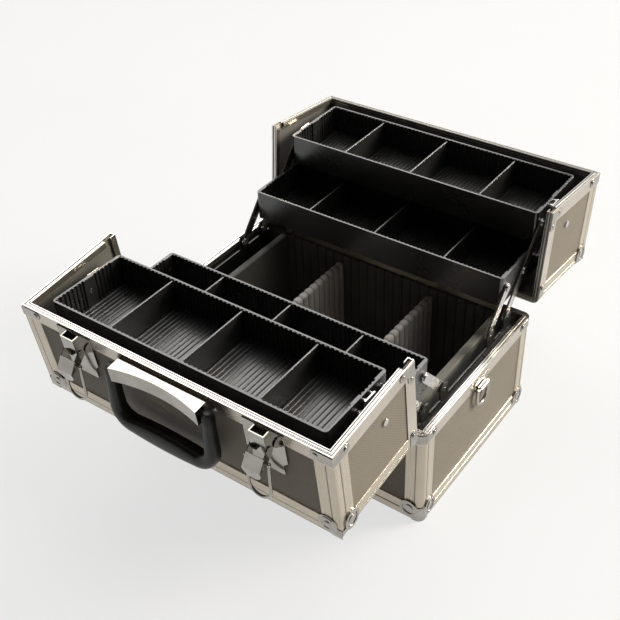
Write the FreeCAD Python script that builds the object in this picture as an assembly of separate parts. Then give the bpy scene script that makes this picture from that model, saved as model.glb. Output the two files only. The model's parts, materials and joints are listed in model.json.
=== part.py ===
# Makeup train case: a framed base, two lid halves that part in the middle, and four trays on swinging arms.
# Millimetres, +Z up, +X to the right of a person at the front.
# The origin is the middle of the base's underside.
# The case stands open: both lid halves lie back on their hinges and the trays have swung out over them.
import FreeCAD
import Part
import math
import os

Vector = FreeCAD.Vector
X_AXIS = Vector(1, 0, 0)
Y_AXIS = Vector(0, 1, 0)
Z_AXIS = Vector(0, 0, 1)
ORIGIN = Vector(0, 0, 0)

# Overall sizes of the closed case
LENGTH = 365.0
DEPTH = 225.0
BASE_HEIGHT = 123.0
LID_HEIGHT = 125.5
CORNER_RADIUS = 7.0
SEAM_GAP = 0.5
SPLIT_GAP = 1.0

# Boards and the aluminium sections that hold them
PANEL = 2.8
LINING = 0.6
EDGE_WALL = 1.0
EDGE_BAND = 20.0
RIM_WIDTH = 6.5
RIM_WEB = 1.2
RIM_BAND = 15.0
RIM_LEG = 7.0
GROOVE_INSET = 2.2
GROOVE_WIDTH = 1.2
GROOVE_DEPTH = 0.5
BAND_LINE = 8.5

# Corner caps with round bosses, and the riveted corner plates along the rims
CAP_WALL = 0.9
CAP_NOSE = 19.0
CAP_REACH = 12.0
BOSS_RADIUS = 10.5
BOSS_INSET = 14.5
BOSS_GROOVE_RADIUS = 7.5
BOSS_GROOVE_WIDTH = 1.4
STUD_RADIUS = 3.0
STUD_RISE = 0.9
PLATE_WALL = 0.8
PLATE_HEIGHT = 11.0
PLATE_RIVET_RADIUS = 2.6
PLATE_RIVET_RISE = 0.8
PLATE_RIVET_INSET = 17.5

# Lid hinges: the axis stands outside the wall and below the seam
HINGE_OUT = 8.4
HINGE_DROP = 3.4
LID_OPEN_ANGLE = 96.0
HINGE_END_INSET = 65.5
HINGE_LENGTH = 44.0
HINGE_LEAF = 1.4
HINGE_LEAF_HEIGHT = 20.0
HINGE_BARREL_RADIUS = 3.4
HINGE_PIN_RADIUS = 1.7
HINGE_TONGUE = 2.0
RUNNING_CLEARANCE = 0.08
END_CLEARANCE = 0.4

# Trays
TRAY_END_GAP = 20.0
TRAY_WALL_GAP = 19.5
TRAY_LID_GAP = 4.2
TRAY_HEIGHT = 36.0
TRAY_WALL = 2.0
TRAY_FLOOR = 2.0
TRAY_CORNER_RADIUS = 4.0
TRAY_CENTRE_GAP = 1.0
TRAY_PAD_WIDTH = 14.0
TRAY_PAD_DEPTH = 1.6
TRAY_DIVIDER = 1.6
TRAY_DIVIDER_DROP = 1.5
TRAY_CELL_PITCH = 88.5
TRAY_CELL_SHIFT = 2.0
FIT_GAP = 0.3

# Swinging arms at both ends of the trays
ARM_OPEN_ANGLE = 41.5
ARM_SWING = 86.0
ARM_WIDTH = 11.0
ARM_WALL = 2.0
ARM_GAP = 0.6
TRAY_PIVOT_INSET = 9.5
TRAY_PIVOT_FAR_INSET = 8.3
TRAY_PIVOT_DROP = 16.0
BASE_PIVOT_RISE = 5.6
RIVET_RADIUS = 2.0
RIVET_HEAD_RADIUS = 3.8
RIVET_HEAD = 1.1
RIVET_PLAY = 0.2

# Pivot channel inside each end of the base
CHANNEL_WALL = 1.6
CHANNEL_SHELF_DROP = 9.0
CHANNEL_SKIRT = 22.0
CHANNEL_WALL_GAP = 10.7
CHANNEL_EAR_RADIUS = 8.0
CHANNEL_WEB_DROP = 4.0

# Guide that lets each lid half carry the upper tray: a pin in the lid, a slotted plate on the tray
GUIDE_PIN_AHEAD = 12.6
GUIDE_PIN_DROP = 8.4
GUIDE_PIN_RADIUS = 2.0
GUIDE_PIN_HEAD_RADIUS = 3.6
GUIDE_PLATE = 1.5
GUIDE_SLOT_CLEARANCE = 0.6
GUIDE_MARGIN = 3.6
GUIDE_STEPS = 8
GUIDE_STUD_RADIUS = 2.4
GUIDE_STUD_RISE = 11.0
GUIDE_STUD_HALF_SPACING = 5.5

# Base lining and padded dividers
LINER_WALL = 4.0
LINER_END_WALL = 9.0
LINER_END_INSET = 11.5
LINER_DROP = 9.0
LINER_FLOOR = 3.0
LINER_RIB_PITCH = 12.0
LINER_GROOVE_WIDTH = 1.4
LINER_GROOVE_DEPTH = 1.2
END_CELL_WIDTH = 80.0
DIVIDER_THICKNESS = 10.0
DIVIDER_DROP = 18.0
DIVIDER_RIB_PITCH = 10.4
DIVIDER_SEAM_DEPTH = 1.3
DIVIDER_CROWN_ANGLE = 25.0

# Latches on the front lid half, measured from the split edge and up from the lid's outer face
LATCH_END_INSET = 70.5
LATCH_PLATE_WIDTH = 44.0
LATCH_PLATE_NEAR = 3.0
LATCH_PLATE_FAR = 56.0
LATCH_PLATE = 1.2
LATCH_PLATE_STEP = 5.0
BRACKET_WIDTH = 16.4
BRACKET_NEAR = 3.4
BRACKET_FAR = 26.0
BRACKET_RISE = 9.8
LATCH_PIVOT_REACH = 23.6
LATCH_PIVOT_RISE = 6.8
LATCH_PIVOT_RADIUS = 1.5
LEVER_WALL = 1.0
LEVER_TILT = 38.0
LEVER_FACE = 5.0
LEVER_FLAP_START = 6.5
LEVER_FLAP_END = 20.0
LEVER_HUB_RADIUS = 4.8
TONGUE_WIDTH = 20.0
TONGUE_BEND = 45.0
TONGUE_STRAIGHT = 2.0
TONGUE_DISH = 0.5
BAIL_ALONG = 11.0
BAIL_LENGTH = 45.0
BAIL_WIRE_RADIUS = 1.5
BAIL_BALL_RADIUS = 2.3
BAIL_PIN_RADIUS = 1.3
CATCH_WIDTH = 9.0
CATCH_NEAR = 1.2
CATCH_TIP = 9.0
CATCH_WALL = 1.6
CATCH_RISE = 7.5
CATCH_FOOT = 22.0

# Handle that hangs from a chrome mount beside the split edge
HANDLE_MOUNT_LENGTH = 104.0
HANDLE_MOUNT_NEAR = 5.0
HANDLE_MOUNT_FAR = 22.0
HANDLE_MOUNT_RISE = 17.0
HANDLE_WAIST_RISE = 10.0
HANDLE_PIVOT_REACH = 13.5
HANDLE_PIVOT_RISE = 9.0
HANDLE_PIVOT_RADIUS = 3.0
HANDLE_PIVOT_LENGTH = 7.0
HANDLE_ARM_WIDTH = 11.0
HANDLE_ARM_HALF_DEPTH = 6.0
HANDLE_DROP = 60.0
HANDLE_BEND_RADIUS = 24.0
GRIP_RADIUS = 12.0
GRIP_END_RADIUS = 9.0
GRIP_HALF_LENGTH = 42.0

# Strap rings at the ends of the base
RING_CLIP_WIDTH = 26.0
RING_CLIP_WALL = 1.2
RING_CLIP_DROP = 6.0
RING_CLIP_HEIGHT = 14.0
RING_WIRE_RADIUS = 1.8
RING_HALF_WIDTH = 11.0
RING_HEIGHT = 22.0
RING_GAP = 0.2

# Places worked out from the sizes above
HALF_LENGTH = LENGTH / 2
HALF_DEPTH = DEPTH / 2
LID_BOTTOM = BASE_HEIGHT + SEAM_GAP
LID_TOP = BASE_HEIGHT + LID_HEIGHT
SPLIT_Y = -SPLIT_GAP / 2
HINGE_POINT = Vector(0, -(HALF_DEPTH + HINGE_OUT), BASE_HEIGHT - HINGE_DROP)
SHELL = EDGE_WALL + PANEL
TRAY_END = HALF_LENGTH - TRAY_END_GAP
TRAY_DEPTH = HALF_DEPTH - TRAY_WALL_GAP
ARM_INNER_X = TRAY_END + ARM_GAP
ARM_OUTER_X = ARM_INNER_X + ARM_WALL
CHANNEL_X = ARM_OUTER_X + ARM_GAP
ARM_CLOSED_ANGLE = ARM_OPEN_ANGLE - ARM_SWING
LID_REACH = HALF_DEPTH + HINGE_OUT + LID_TOP - SHELL - LINING - HINGE_POINT.z
SHIFT_PER_SPAN = (LID_REACH - TRAY_LID_GAP - TRAY_CENTRE_GAP - TRAY_DEPTH) / 2
ARM_SINES = math.sin(math.radians(ARM_OPEN_ANGLE)) - math.sin(math.radians(ARM_CLOSED_ANGLE))
ARM_SPAN = SHIFT_PER_SPAN / ARM_SINES
ARM_PIVOT_SPACING = (TRAY_DEPTH - TRAY_PIVOT_INSET - TRAY_PIVOT_FAR_INSET) / 2
BASE_PIVOT_HEIGHT = BASE_HEIGHT + BASE_PIVOT_RISE
RISE_PER_SPAN = ARM_SPAN * math.cos(math.radians(ARM_OPEN_ANGLE))
LOWER_TRAY_RIM = BASE_PIVOT_HEIGHT + RISE_PER_SPAN + TRAY_PIVOT_DROP
UPPER_TRAY_RIM = LOWER_TRAY_RIM + RISE_PER_SPAN
UPPER_TRAY_EDGE = -(TRAY_CENTRE_GAP + 2 * SHIFT_PER_SPAN)
LOWER_TRAY_EDGE = -(TRAY_CENTRE_GAP + SHIFT_PER_SPAN)
CHANNEL_SHELF_HEIGHT = BASE_HEIGHT - CHANNEL_SHELF_DROP
CHANNEL_WEB_TOP = BASE_HEIGHT - CHANNEL_WEB_DROP
CHANNEL_HALF_LENGTH = HALF_DEPTH - SHELL - CHANNEL_WALL_GAP
LINER_END_X = TRAY_END - LINER_END_INSET
LINER_HEIGHT = BASE_HEIGHT - LINER_DROP
LINER_INNER_Y = HALF_DEPTH - SHELL - RIM_LEG + RIM_WIDTH - LINER_WALL
DIVIDER_X = LINER_END_X - LINER_END_WALL - END_CELL_WIDTH
DIVIDER_HEIGHT = BASE_HEIGHT - DIVIDER_DROP
LATCH_X = HALF_LENGTH - LATCH_END_INSET
LEVER_INNER = BRACKET_WIDTH / 2 + FIT_GAP
LEVER_OUTER = LEVER_INNER + LEVER_WALL
BAIL_HALF_WIDTH = LEVER_OUTER + FIT_GAP + BAIL_BALL_RADIUS
BIG = 2 * LENGTH


def box(x0, x1, y0, y1, z0, z1):
    """Block between two corners."""
    return Part.makeBox(x1 - x0, y1 - y0, z1 - z0, Vector(x0, y0, z0))


def rod(radius, length, start, direction):
    """Round bar from a place along a direction."""
    return Part.makeCylinder(radius, length, start, direction)


def segment(start, end):
    """Straight edge."""
    return Part.LineSegment(start, end).toShape()


def arc(start, middle, end):
    """Round edge through three places."""
    return Part.Arc(start, middle, end).toShape()


def rounded_block(half_x, half_y, z0, z1, radius):
    """Block centred on the Z axis with rounded upright edges."""
    block = box(-half_x, half_x, -half_y, half_y, z0, z1)
    if radius < FIT_GAP:
        return block
    upright = [edge for edge in block.Edges if abs(edge.tangentAt(edge.FirstParameter).z) > 0.5]
    return block.makeFillet(radius, upright)


def ring(half_x, half_y, z0, z1, radius, wall):
    """Rectangular ring with rounded corners."""
    outside = rounded_block(half_x, half_y, z0, z1, radius)
    return outside.cut(rounded_block(half_x - wall, half_y - wall, z0, z1, max(radius - wall, 0)))


def prism(points, direction):
    """Straight-sided solid from a closed outline."""
    return Part.Face(Part.makePolygon(points + points[:1])).extrude(direction)


def mitred(shape):
    """The sides of a rectangular frame, parted on the corner diagonals."""
    inner = HALF_LENGTH - HALF_DEPTH
    reach = inner + DEPTH
    long_side = [(-reach, -DEPTH), (reach, -DEPTH), (inner, 0), (-inner, 0)]
    end_side = [(reach, -DEPTH), (reach, DEPTH), (inner, 0)]
    strips = []
    for outline in (long_side, end_side):
        wedge = prism([Vector(x, y, -BIG) for x, y in outline], Vector(0, 0, 2 * BIG))
        strips += shape.common(wedge).Solids
        strips += shape.common(wedge.mirror(ORIGIN, Y_AXIS if outline is long_side else X_AXIS)).Solids
    return strips


def both_ends(shape):
    """A piece at the right end with its twin at the left end."""
    return Part.makeCompound([shape, shape.mirror(ORIGIN, X_AXIS)])


def to_rear(shape):
    """The rear twin of a front piece."""
    return shape.mirror(ORIGIN, Y_AXIS)


def opened(shape):
    """A piece of the closed front lid half, laid back with the lid."""
    turned = shape.copy()
    turned.rotate(HINGE_POINT, X_AXIS, LID_OPEN_ANGLE)
    return turned


def turned_about(point, vector, angle):
    """A place in the YZ plane after a turn about the X direction."""
    offset = vector - point
    cosine = math.cos(math.radians(angle))
    sine = math.sin(math.radians(angle))
    return point + Vector(offset.x, offset.y * cosine - offset.z * sine, offset.y * sine + offset.z * cosine)


def arm_vector(angle, spans):
    """From an arm's lower pivot to a pivot some spans further up, leaning out by the angle."""
    reach = ARM_SPAN * spans
    return Vector(0, -reach * math.sin(math.radians(angle)), reach * math.cos(math.radians(angle)))


# Pivot places on the open front half, in the YZ plane
LOWER_INNER_PIVOT = Vector(0, LOWER_TRAY_EDGE - TRAY_PIVOT_INSET, LOWER_TRAY_RIM - TRAY_PIVOT_DROP)
LOWER_MIDDLE_PIVOT = LOWER_INNER_PIVOT - Vector(0, ARM_PIVOT_SPACING, 0)
LOWER_OUTER_PIVOT = LOWER_MIDDLE_PIVOT - Vector(0, ARM_PIVOT_SPACING, 0)
BASE_INNER_PIVOT = LOWER_INNER_PIVOT - arm_vector(ARM_OPEN_ANGLE, 1)
BASE_OUTER_PIVOT = LOWER_MIDDLE_PIVOT - arm_vector(ARM_OPEN_ANGLE, 1)
UPPER_INNER_PIVOT = BASE_OUTER_PIVOT + arm_vector(ARM_OPEN_ANGLE, 2)
UPPER_MIDDLE_PIVOT = LOWER_OUTER_PIVOT + arm_vector(ARM_OPEN_ANGLE, 1)


def rim_section(half_x, half_y, edge, inward):
    """Closing section round an open edge: band, web and inner leg; inward is -1 below the edge, +1 above."""
    def span(height):
        return sorted((edge, edge + inward * height))
    band = ring(half_x, half_y, *span(RIM_BAND), CORNER_RADIUS, EDGE_WALL)
    web = ring(half_x, half_y, *span(RIM_WEB), CORNER_RADIUS, RIM_WIDTH)
    leg_inset = RIM_WIDTH - EDGE_WALL
    leg = ring(half_x - leg_inset, half_y - leg_inset, *span(RIM_LEG), CORNER_RADIUS - leg_inset, EDGE_WALL)
    groove = ring(half_x - GROOVE_INSET, half_y - GROOVE_INSET, *span(GROOVE_DEPTH),
                  CORNER_RADIUS - GROOVE_INSET, GROOVE_WIDTH)
    return band.fuse([web, leg]).removeSplitter().cut(groove)


def edge_section(half_x, half_y, edge, inward):
    """Angle sections along the four edges of a closed face; inward points from the face into the case."""
    def span(height):
        return sorted((edge, edge + inward * height))
    upright = ring(half_x, half_y, *span(EDGE_BAND), CORNER_RADIUS, EDGE_WALL)
    flat = ring(half_x, half_y, *span(EDGE_WALL), CORNER_RADIUS, EDGE_BAND)
    line = sorted((edge + inward * BAND_LINE, edge + inward * (BAND_LINE + GROOVE_WIDTH)))
    groove = ring(half_x, half_y, *line, CORNER_RADIUS, GROOVE_DEPTH)
    return upright.fuse(flat).removeSplitter().cut(groove)


def corner_posts(z0, z1):
    """Angle sections up the four corners, with a groove on each side of the rounded nose."""
    wall = ring(HALF_LENGTH, HALF_DEPTH, z0, z1, CORNER_RADIUS, EDGE_WALL)
    skin = ring(HALF_LENGTH, HALF_DEPTH, z0, z1, CORNER_RADIUS, GROOVE_DEPTH)
    far_edge = BAND_LINE + GROOVE_WIDTH
    for side in (-1, 1):
        xs = sorted((side * (HALF_LENGTH - BAND_LINE), side * (HALF_LENGTH - far_edge)))
        ys = sorted((side * (HALF_DEPTH - BAND_LINE), side * (HALF_DEPTH - far_edge)))
        wall = wall.cut([skin.common(box(*xs, -BIG, BIG, z0, z1)), skin.common(box(-BIG, BIG, *ys, z0, z1))])
    posts = []
    for sx in (-1, 1):
        for sy in (-1, 1):
            xs = sorted((sx * (HALF_LENGTH - EDGE_BAND), sx * HALF_LENGTH))
            ys = sorted((sy * (HALF_DEPTH - EDGE_BAND), sy * HALF_DEPTH))
            posts += wall.common(box(*xs, *ys, z0, z1)).Solids
    return posts


def corner_cap():
    """Pressed cap of the front right lower corner, with a round boss on each upright face."""
    outer_x = HALF_LENGTH + CAP_WALL
    outer_y = HALF_DEPTH + CAP_WALL
    nose = ring(outer_x, outer_y, 0, CAP_NOSE, CORNER_RADIUS + CAP_WALL, CAP_WALL)
    nose = nose.common(box(outer_x - CAP_REACH, outer_x, -outer_y, -outer_y + CAP_REACH, 0, CAP_NOSE))
    bosses = []
    for centre, axis in ((Vector(HALF_LENGTH, -HALF_DEPTH + BOSS_INSET, BOSS_INSET), X_AXIS),
                         (Vector(HALF_LENGTH - BOSS_INSET, -HALF_DEPTH, BOSS_INSET), -Y_AXIS)):
        rise = CAP_WALL + STUD_RISE
        boss = rod(BOSS_RADIUS, rise, centre, axis)
        ditch = rod(BOSS_GROOVE_RADIUS, STUD_RISE, centre + axis * CAP_WALL, axis)
        ditch = ditch.cut(rod(BOSS_GROOVE_RADIUS - BOSS_GROOVE_WIDTH - STUD_RADIUS / 2, STUD_RISE,
                                            centre + axis * CAP_WALL, axis))
        bosses.append(boss.cut(ditch))
    return nose.fuse(bosses).removeSplitter()


def ear_and_rivet(centre, axis):
    """Round ear of a corner plate with the rivet's head at its middle."""
    ear = rod(PLATE_HEIGHT / 2, PLATE_WALL, centre, axis)
    head = rod(PLATE_RIVET_RADIUS, PLATE_WALL + PLATE_RIVET_RISE, centre, axis)
    return [ear, head]


def corner_plate(edge, inward):
    """Riveted plate that wraps the front right corner beside a rim edge."""
    z0, z1 = sorted((edge + inward * RIM_WEB, edge + inward * (RIM_WEB + PLATE_HEIGHT)))
    outer_x = HALF_LENGTH + PLATE_WALL
    outer_y = HALF_DEPTH + PLATE_WALL
    reach = PLATE_RIVET_INSET + PLATE_WALL
    plate = ring(outer_x, outer_y, z0, z1, CORNER_RADIUS + PLATE_WALL, PLATE_WALL)
    plate = plate.common(box(outer_x - reach, outer_x, -outer_y, -outer_y + reach, z0, z1))
    middle = (z0 + z1) / 2
    ears = ear_and_rivet(Vector(HALF_LENGTH, -HALF_DEPTH + PLATE_RIVET_INSET, middle), X_AXIS)
    ears += ear_and_rivet(Vector(HALF_LENGTH - PLATE_RIVET_INSET, -HALF_DEPTH, middle), -Y_AXIS)
    return plate.fuse(ears).removeSplitter()


def split_plate():
    """Riveted plate over the right end's top edge of the closed front lid half, beside the split."""
    x0 = HALF_LENGTH
    y1 = SPLIT_Y - RIM_WEB
    y0 = y1 - PLATE_HEIGHT
    top = box(x0 - PLATE_RIVET_INSET, x0 + PLATE_WALL, y0, y1, LID_TOP, LID_TOP + PLATE_WALL)
    side = box(x0, x0 + PLATE_WALL, y0, y1, LID_TOP - PLATE_RIVET_INSET, LID_TOP + PLATE_WALL)
    middle = (y0 + y1) / 2
    ears = ear_and_rivet(Vector(x0, middle, LID_TOP - PLATE_RIVET_INSET), X_AXIS)
    ears += ear_and_rivet(Vector(x0 - PLATE_RIVET_INSET, middle, LID_TOP), Z_AXIS)
    return top.fuse([side] + ears).removeSplitter()


def base_shell():
    """Boards, sections and corner pieces of the base."""
    walls = ring(HALF_LENGTH - EDGE_WALL, HALF_DEPTH - EDGE_WALL, EDGE_WALL, BASE_HEIGHT - RIM_WEB,
                 CORNER_RADIUS - EDGE_WALL, PANEL)
    floor = rounded_block(HALF_LENGTH - SHELL, HALF_DEPTH - SHELL, EDGE_WALL, SHELL, CORNER_RADIUS - SHELL)
    window_inset = EDGE_BAND + FIT_GAP
    underside = rounded_block(HALF_LENGTH - window_inset, HALF_DEPTH - window_inset, 0, EDGE_WALL, 0)
    floor = floor.fuse(underside).removeSplitter()
    frame = mitred(edge_section(HALF_LENGTH, HALF_DEPTH, 0, 1))
    frame += corner_posts(EDGE_BAND, BASE_HEIGHT - RIM_BAND)
    cap = corner_cap()
    plate = corner_plate(BASE_HEIGHT, -1)
    corners = []
    for piece in (cap, plate):
        right = [piece, to_rear(piece)]
        corners += right + [twin.mirror(ORIGIN, X_AXIS) for twin in right]
    return {
        "base_wall_panels": Part.makeCompound(mitred(walls)),
        "base_floor_panel": floor,
        "base_edge_frame": Part.makeCompound(frame),
        "base_rim": rim_section(HALF_LENGTH, HALF_DEPTH, BASE_HEIGHT, -1),
        "base_corner_pieces": Part.makeCompound(corners),
    }


def guide_pin_place():
    """Centre of the guide pin in the closed front lid half: beside the upper tray's outer pivot once open."""
    open_place = UPPER_MIDDLE_PIVOT + Vector(0, GUIDE_PIN_AHEAD, -GUIDE_PIN_DROP)
    return turned_about(HINGE_POINT, open_place, -LID_OPEN_ANGLE)


def lid_shell():
    """Boards, sections, lining and corner pieces of the closed front lid half."""
    inside = SPLIT_Y - RIM_WEB
    board_zone = box(-BIG, BIG, -BIG, inside, LID_BOTTOM, LID_TOP)
    frame_zone = box(-BIG, BIG, -BIG, SPLIT_Y - RIM_BAND, LID_BOTTOM, LID_TOP)
    half_zone = box(-BIG, BIG, -BIG, SPLIT_Y, LID_BOTTOM, LID_TOP)
    walls = ring(HALF_LENGTH - EDGE_WALL, HALF_DEPTH - EDGE_WALL, LID_BOTTOM + RIM_WEB, LID_TOP - EDGE_WALL,
                 CORNER_RADIUS - EDGE_WALL, PANEL)
    walls = mitred(walls.common(board_zone))
    pin = guide_pin_place()
    pin_hole = rod(GUIDE_PIN_RADIUS, 2 * BIG, pin - X_AXIS * BIG, X_AXIS)
    top = rounded_block(HALF_LENGTH - SHELL, HALF_DEPTH - SHELL, LID_TOP - SHELL, LID_TOP - EDGE_WALL,
                        CORNER_RADIUS - SHELL).common(board_zone)
    boards = [wall.cut(pin_hole) for wall in walls] + [top]
    skirt = ring(HALF_LENGTH - SHELL, HALF_DEPTH - SHELL, LID_BOTTOM + RIM_LEG, LID_TOP - SHELL,
                 CORNER_RADIUS - SHELL, LINING)
    ceiling = rounded_block(HALF_LENGTH - SHELL, HALF_DEPTH - SHELL, LID_TOP - SHELL - LINING,
                            LID_TOP - SHELL, CORNER_RADIUS - SHELL)
    lining = skirt.fuse(ceiling).removeSplitter().common(box(-BIG, BIG, -BIG, SPLIT_Y - RIM_LEG, 0, BIG))
    frame = mitred(edge_section(HALF_LENGTH, HALF_DEPTH, LID_TOP, -1).common(frame_zone))
    posts = corner_posts(LID_BOTTOM + RIM_BAND, LID_TOP - EDGE_BAND)
    frame += [post for post in posts if post.BoundBox.YMax < 0]
    cap = corner_cap().mirror(ORIGIN, Z_AXIS)
    cap.translate(Vector(0, 0, LID_TOP))
    corners = []
    for piece in (cap, corner_plate(LID_BOTTOM, 1), split_plate()):
        corners += [piece, piece.mirror(ORIGIN, X_AXIS)]
    return {
        "lid_panels": Part.makeCompound(boards),
        "lid_lining": lining.cut(pin_hole),
        "lid_edge_frame": Part.makeCompound(frame),
        "lid_rims": Part.makeCompound([rim_section(HALF_LENGTH, HALF_DEPTH, LID_BOTTOM, 1).common(half_zone),
                                       split_rim()]),
        "lid_corner_pieces": Part.makeCompound(corners),
        "lid_guide_pins": both_ends(guide_pin(pin)),
    }


def split_rim():
    """Closing section along the split edge of the closed front lid half: over the top and down both ends."""
    foot = LID_BOTTOM + RIM_BAND

    def arch(inset, wall, reach):
        outside = box(-HALF_LENGTH + inset, HALF_LENGTH - inset, SPLIT_Y - reach, SPLIT_Y,
                      foot, LID_TOP - inset)
        inside = inset + wall
        return outside.cut(box(-HALF_LENGTH + inside, HALF_LENGTH - inside, SPLIT_Y - reach, SPLIT_Y,
                               foot, LID_TOP - inside))
    section = arch(0, EDGE_WALL, RIM_BAND).fuse([arch(0, RIM_WIDTH, RIM_WEB),
                                                 arch(RIM_WIDTH - EDGE_WALL, EDGE_WALL, RIM_LEG)])
    return section.removeSplitter().cut(arch(GROOVE_INSET, GROOVE_WIDTH, GROOVE_DEPTH))


def guide_pin(place):
    """Headed pin through the right end wall, reaching in to the tray's slotted plate."""
    tip = ARM_OUTER_X + ARM_GAP / 2
    outer = HALF_LENGTH - EDGE_WALL
    shank = rod(GUIDE_PIN_RADIUS, outer - tip, Vector(tip, place.y, place.z), X_AXIS)
    head = rod(GUIDE_PIN_HEAD_RADIUS, EDGE_WALL + PLATE_RIVET_RISE,
                             Vector(outer, place.y, place.z), X_AXIS)
    collar_reach = HALF_LENGTH - SHELL - LINING
    collar = rod(GUIDE_PIN_HEAD_RADIUS, LINING * 2, Vector(collar_reach - LINING * 2, place.y, place.z),
                               X_AXIS)
    return shank.fuse([head, collar]).removeSplitter()


def hinge_places():
    """Left ends of the two hinges of one side."""
    right_end = HALF_LENGTH - HINGE_END_INSET
    return [-right_end, right_end - HINGE_LENGTH]


def hinge_leaf(x0, x1, knuckles, face_z0, face_z1):
    """One leaf on the front wall with its knuckles round the hinge axis."""
    wall_y = -HALF_DEPTH
    leaf = box(x0, x1, wall_y - HINGE_LEAF, wall_y, face_z0, face_z1)
    bore = rod(HINGE_PIN_RADIUS + RUNNING_CLEARANCE, BIG, HINGE_POINT - X_AXIS * LENGTH, X_AXIS)
    near_z = face_z1 if face_z1 < HINGE_POINT.z else face_z0
    outward = HINGE_TONGUE if face_z1 < HINGE_POINT.z else -HINGE_TONGUE
    pieces = [leaf]
    for start, end in knuckles:
        barrel = rod(HINGE_BARREL_RADIUS, end - start, HINGE_POINT + X_AXIS * start, X_AXIS)
        tongue_z = sorted((near_z, near_z - outward))
        tongue = box(start, end, HINGE_POINT.y, wall_y, *tongue_z)
        riser_z = sorted((near_z - outward, HINGE_POINT.z))
        riser = box(start, end, HINGE_POINT.y - HINGE_TONGUE / 2, HINGE_POINT.y + HINGE_TONGUE / 2, *riser_z)
        pieces += [barrel, tongue, riser]
    return pieces[0].fuse(pieces[1:]).removeSplitter().cut(bore)


def hinges():
    """Front hinge leaves of the base and of the closed lid, and the pins between them."""
    base_leaves = []
    lid_leaves = []
    pins = []
    third = HINGE_LENGTH / 3
    for x0 in hinge_places():
        x1 = x0 + HINGE_LENGTH
        inner = (x0 + third + END_CLEARANCE / 2, x1 - third - END_CLEARANCE / 2)
        outer = [(x0, inner[0] - END_CLEARANCE), (inner[1] + END_CLEARANCE, x1)]
        base_top = HINGE_POINT.z - HINGE_BARREL_RADIUS
        lid_foot = LID_BOTTOM + HINGE_BARREL_RADIUS
        base_leaves.append(hinge_leaf(x0, x1, outer, base_top - HINGE_LEAF_HEIGHT, base_top))
        lid_leaves.append(hinge_leaf(x0, x1, [inner], lid_foot, lid_foot + HINGE_LEAF_HEIGHT))
        pins.append(rod(HINGE_PIN_RADIUS, HINGE_LENGTH, HINGE_POINT + X_AXIS * x0, X_AXIS))
    return base_leaves, lid_leaves, pins


def bar(start, end, x0, x1):
    """Flat bar with round ends between two places in the YZ plane."""
    along = (end - start).normalize()
    across = Vector(0, -along.z, along.y) * (ARM_WIDTH / 2)
    corners = [start + across, end + across, end - across, start - across]
    flat = prism([Vector(x0, corner.y, corner.z) for corner in corners], X_AXIS * (x1 - x0))
    ends = [rod(ARM_WIDTH / 2, x1 - x0, Vector(x0, place.y, place.z), X_AXIS) for place in (start, end)]
    return flat.fuse(ends).removeSplitter()


def arm(pivots):
    """Right-hand arm drilled at its pivots, with its left-hand twin."""
    blade = bar(pivots[0], pivots[-1], ARM_INNER_X, ARM_OUTER_X)
    for place in pivots:
        blade = blade.cut(rod(RIVET_RADIUS + RUNNING_CLEARANCE, BIG, Vector(0, place.y, place.z), X_AXIS))
    return both_ends(blade)


def rivets(places, tail_x, head_x):
    """Rivets at the right end with their left twins, set flush at the tail and headed past head_x."""
    head_way = RIVET_HEAD if head_x > tail_x else -RIVET_HEAD
    pieces = []
    for place in places:
        def disc(radius, ends):
            x0, x1 = sorted(ends)
            return rod(radius, x1 - x0, Vector(x0, place.y, place.z), X_AXIS)
        shank = disc(RIVET_RADIUS, (tail_x, head_x))
        head = disc(RIVET_HEAD_RADIUS, (head_x, head_x + head_way))
        pieces.append(shank.fuse(head).removeSplitter())
    return Part.makeCompound([twin for piece in pieces for twin in (piece, piece.mirror(ORIGIN, X_AXIS))])


def tray(edge_y, rim_z, pivots):
    """Open tray of the front half with pads inside its end walls where the rivets pass."""
    centre_y = edge_y - TRAY_DEPTH / 2
    half_y = TRAY_DEPTH / 2
    floor_z = rim_z - TRAY_HEIGHT
    outside = rounded_block(TRAY_END, half_y, floor_z, rim_z, TRAY_CORNER_RADIUS)
    pocket = rounded_block(TRAY_END - TRAY_WALL, half_y - TRAY_WALL, floor_z + TRAY_FLOOR, rim_z,
                           TRAY_CORNER_RADIUS - TRAY_WALL)
    body = outside.cut(pocket)
    body.translate(Vector(0, centre_y, 0))
    pads = []
    for place in pivots:
        inner = TRAY_END - TRAY_WALL
        pad = box(inner - TRAY_PAD_DEPTH, inner, place.y - TRAY_PAD_WIDTH / 2, place.y + TRAY_PAD_WIDTH / 2,
                  floor_z + TRAY_FLOOR, rim_z)
        pads += [pad, pad.mirror(ORIGIN, X_AXIS)]
    body = body.fuse(pads).removeSplitter()
    for place in pivots:
        body = body.cut(rod(RIVET_RADIUS, 2 * BIG, Vector(-BIG, place.y, place.z), X_AXIS))
    return body


def tray_dividers(edge_y, rim_z):
    """Loose cross walls that stand in the tray."""
    walls = []
    for step in (-1, 0, 1):
        place = TRAY_CELL_SHIFT + step * TRAY_CELL_PITCH
        walls.append(box(place - TRAY_DIVIDER / 2, place + TRAY_DIVIDER / 2,
                         edge_y - TRAY_DEPTH + TRAY_WALL + FIT_GAP, edge_y - TRAY_WALL - FIT_GAP,
                         rim_z - TRAY_HEIGHT + TRAY_FLOOR, rim_z - TRAY_DIVIDER_DROP))
    return Part.makeCompound(walls)


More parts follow.
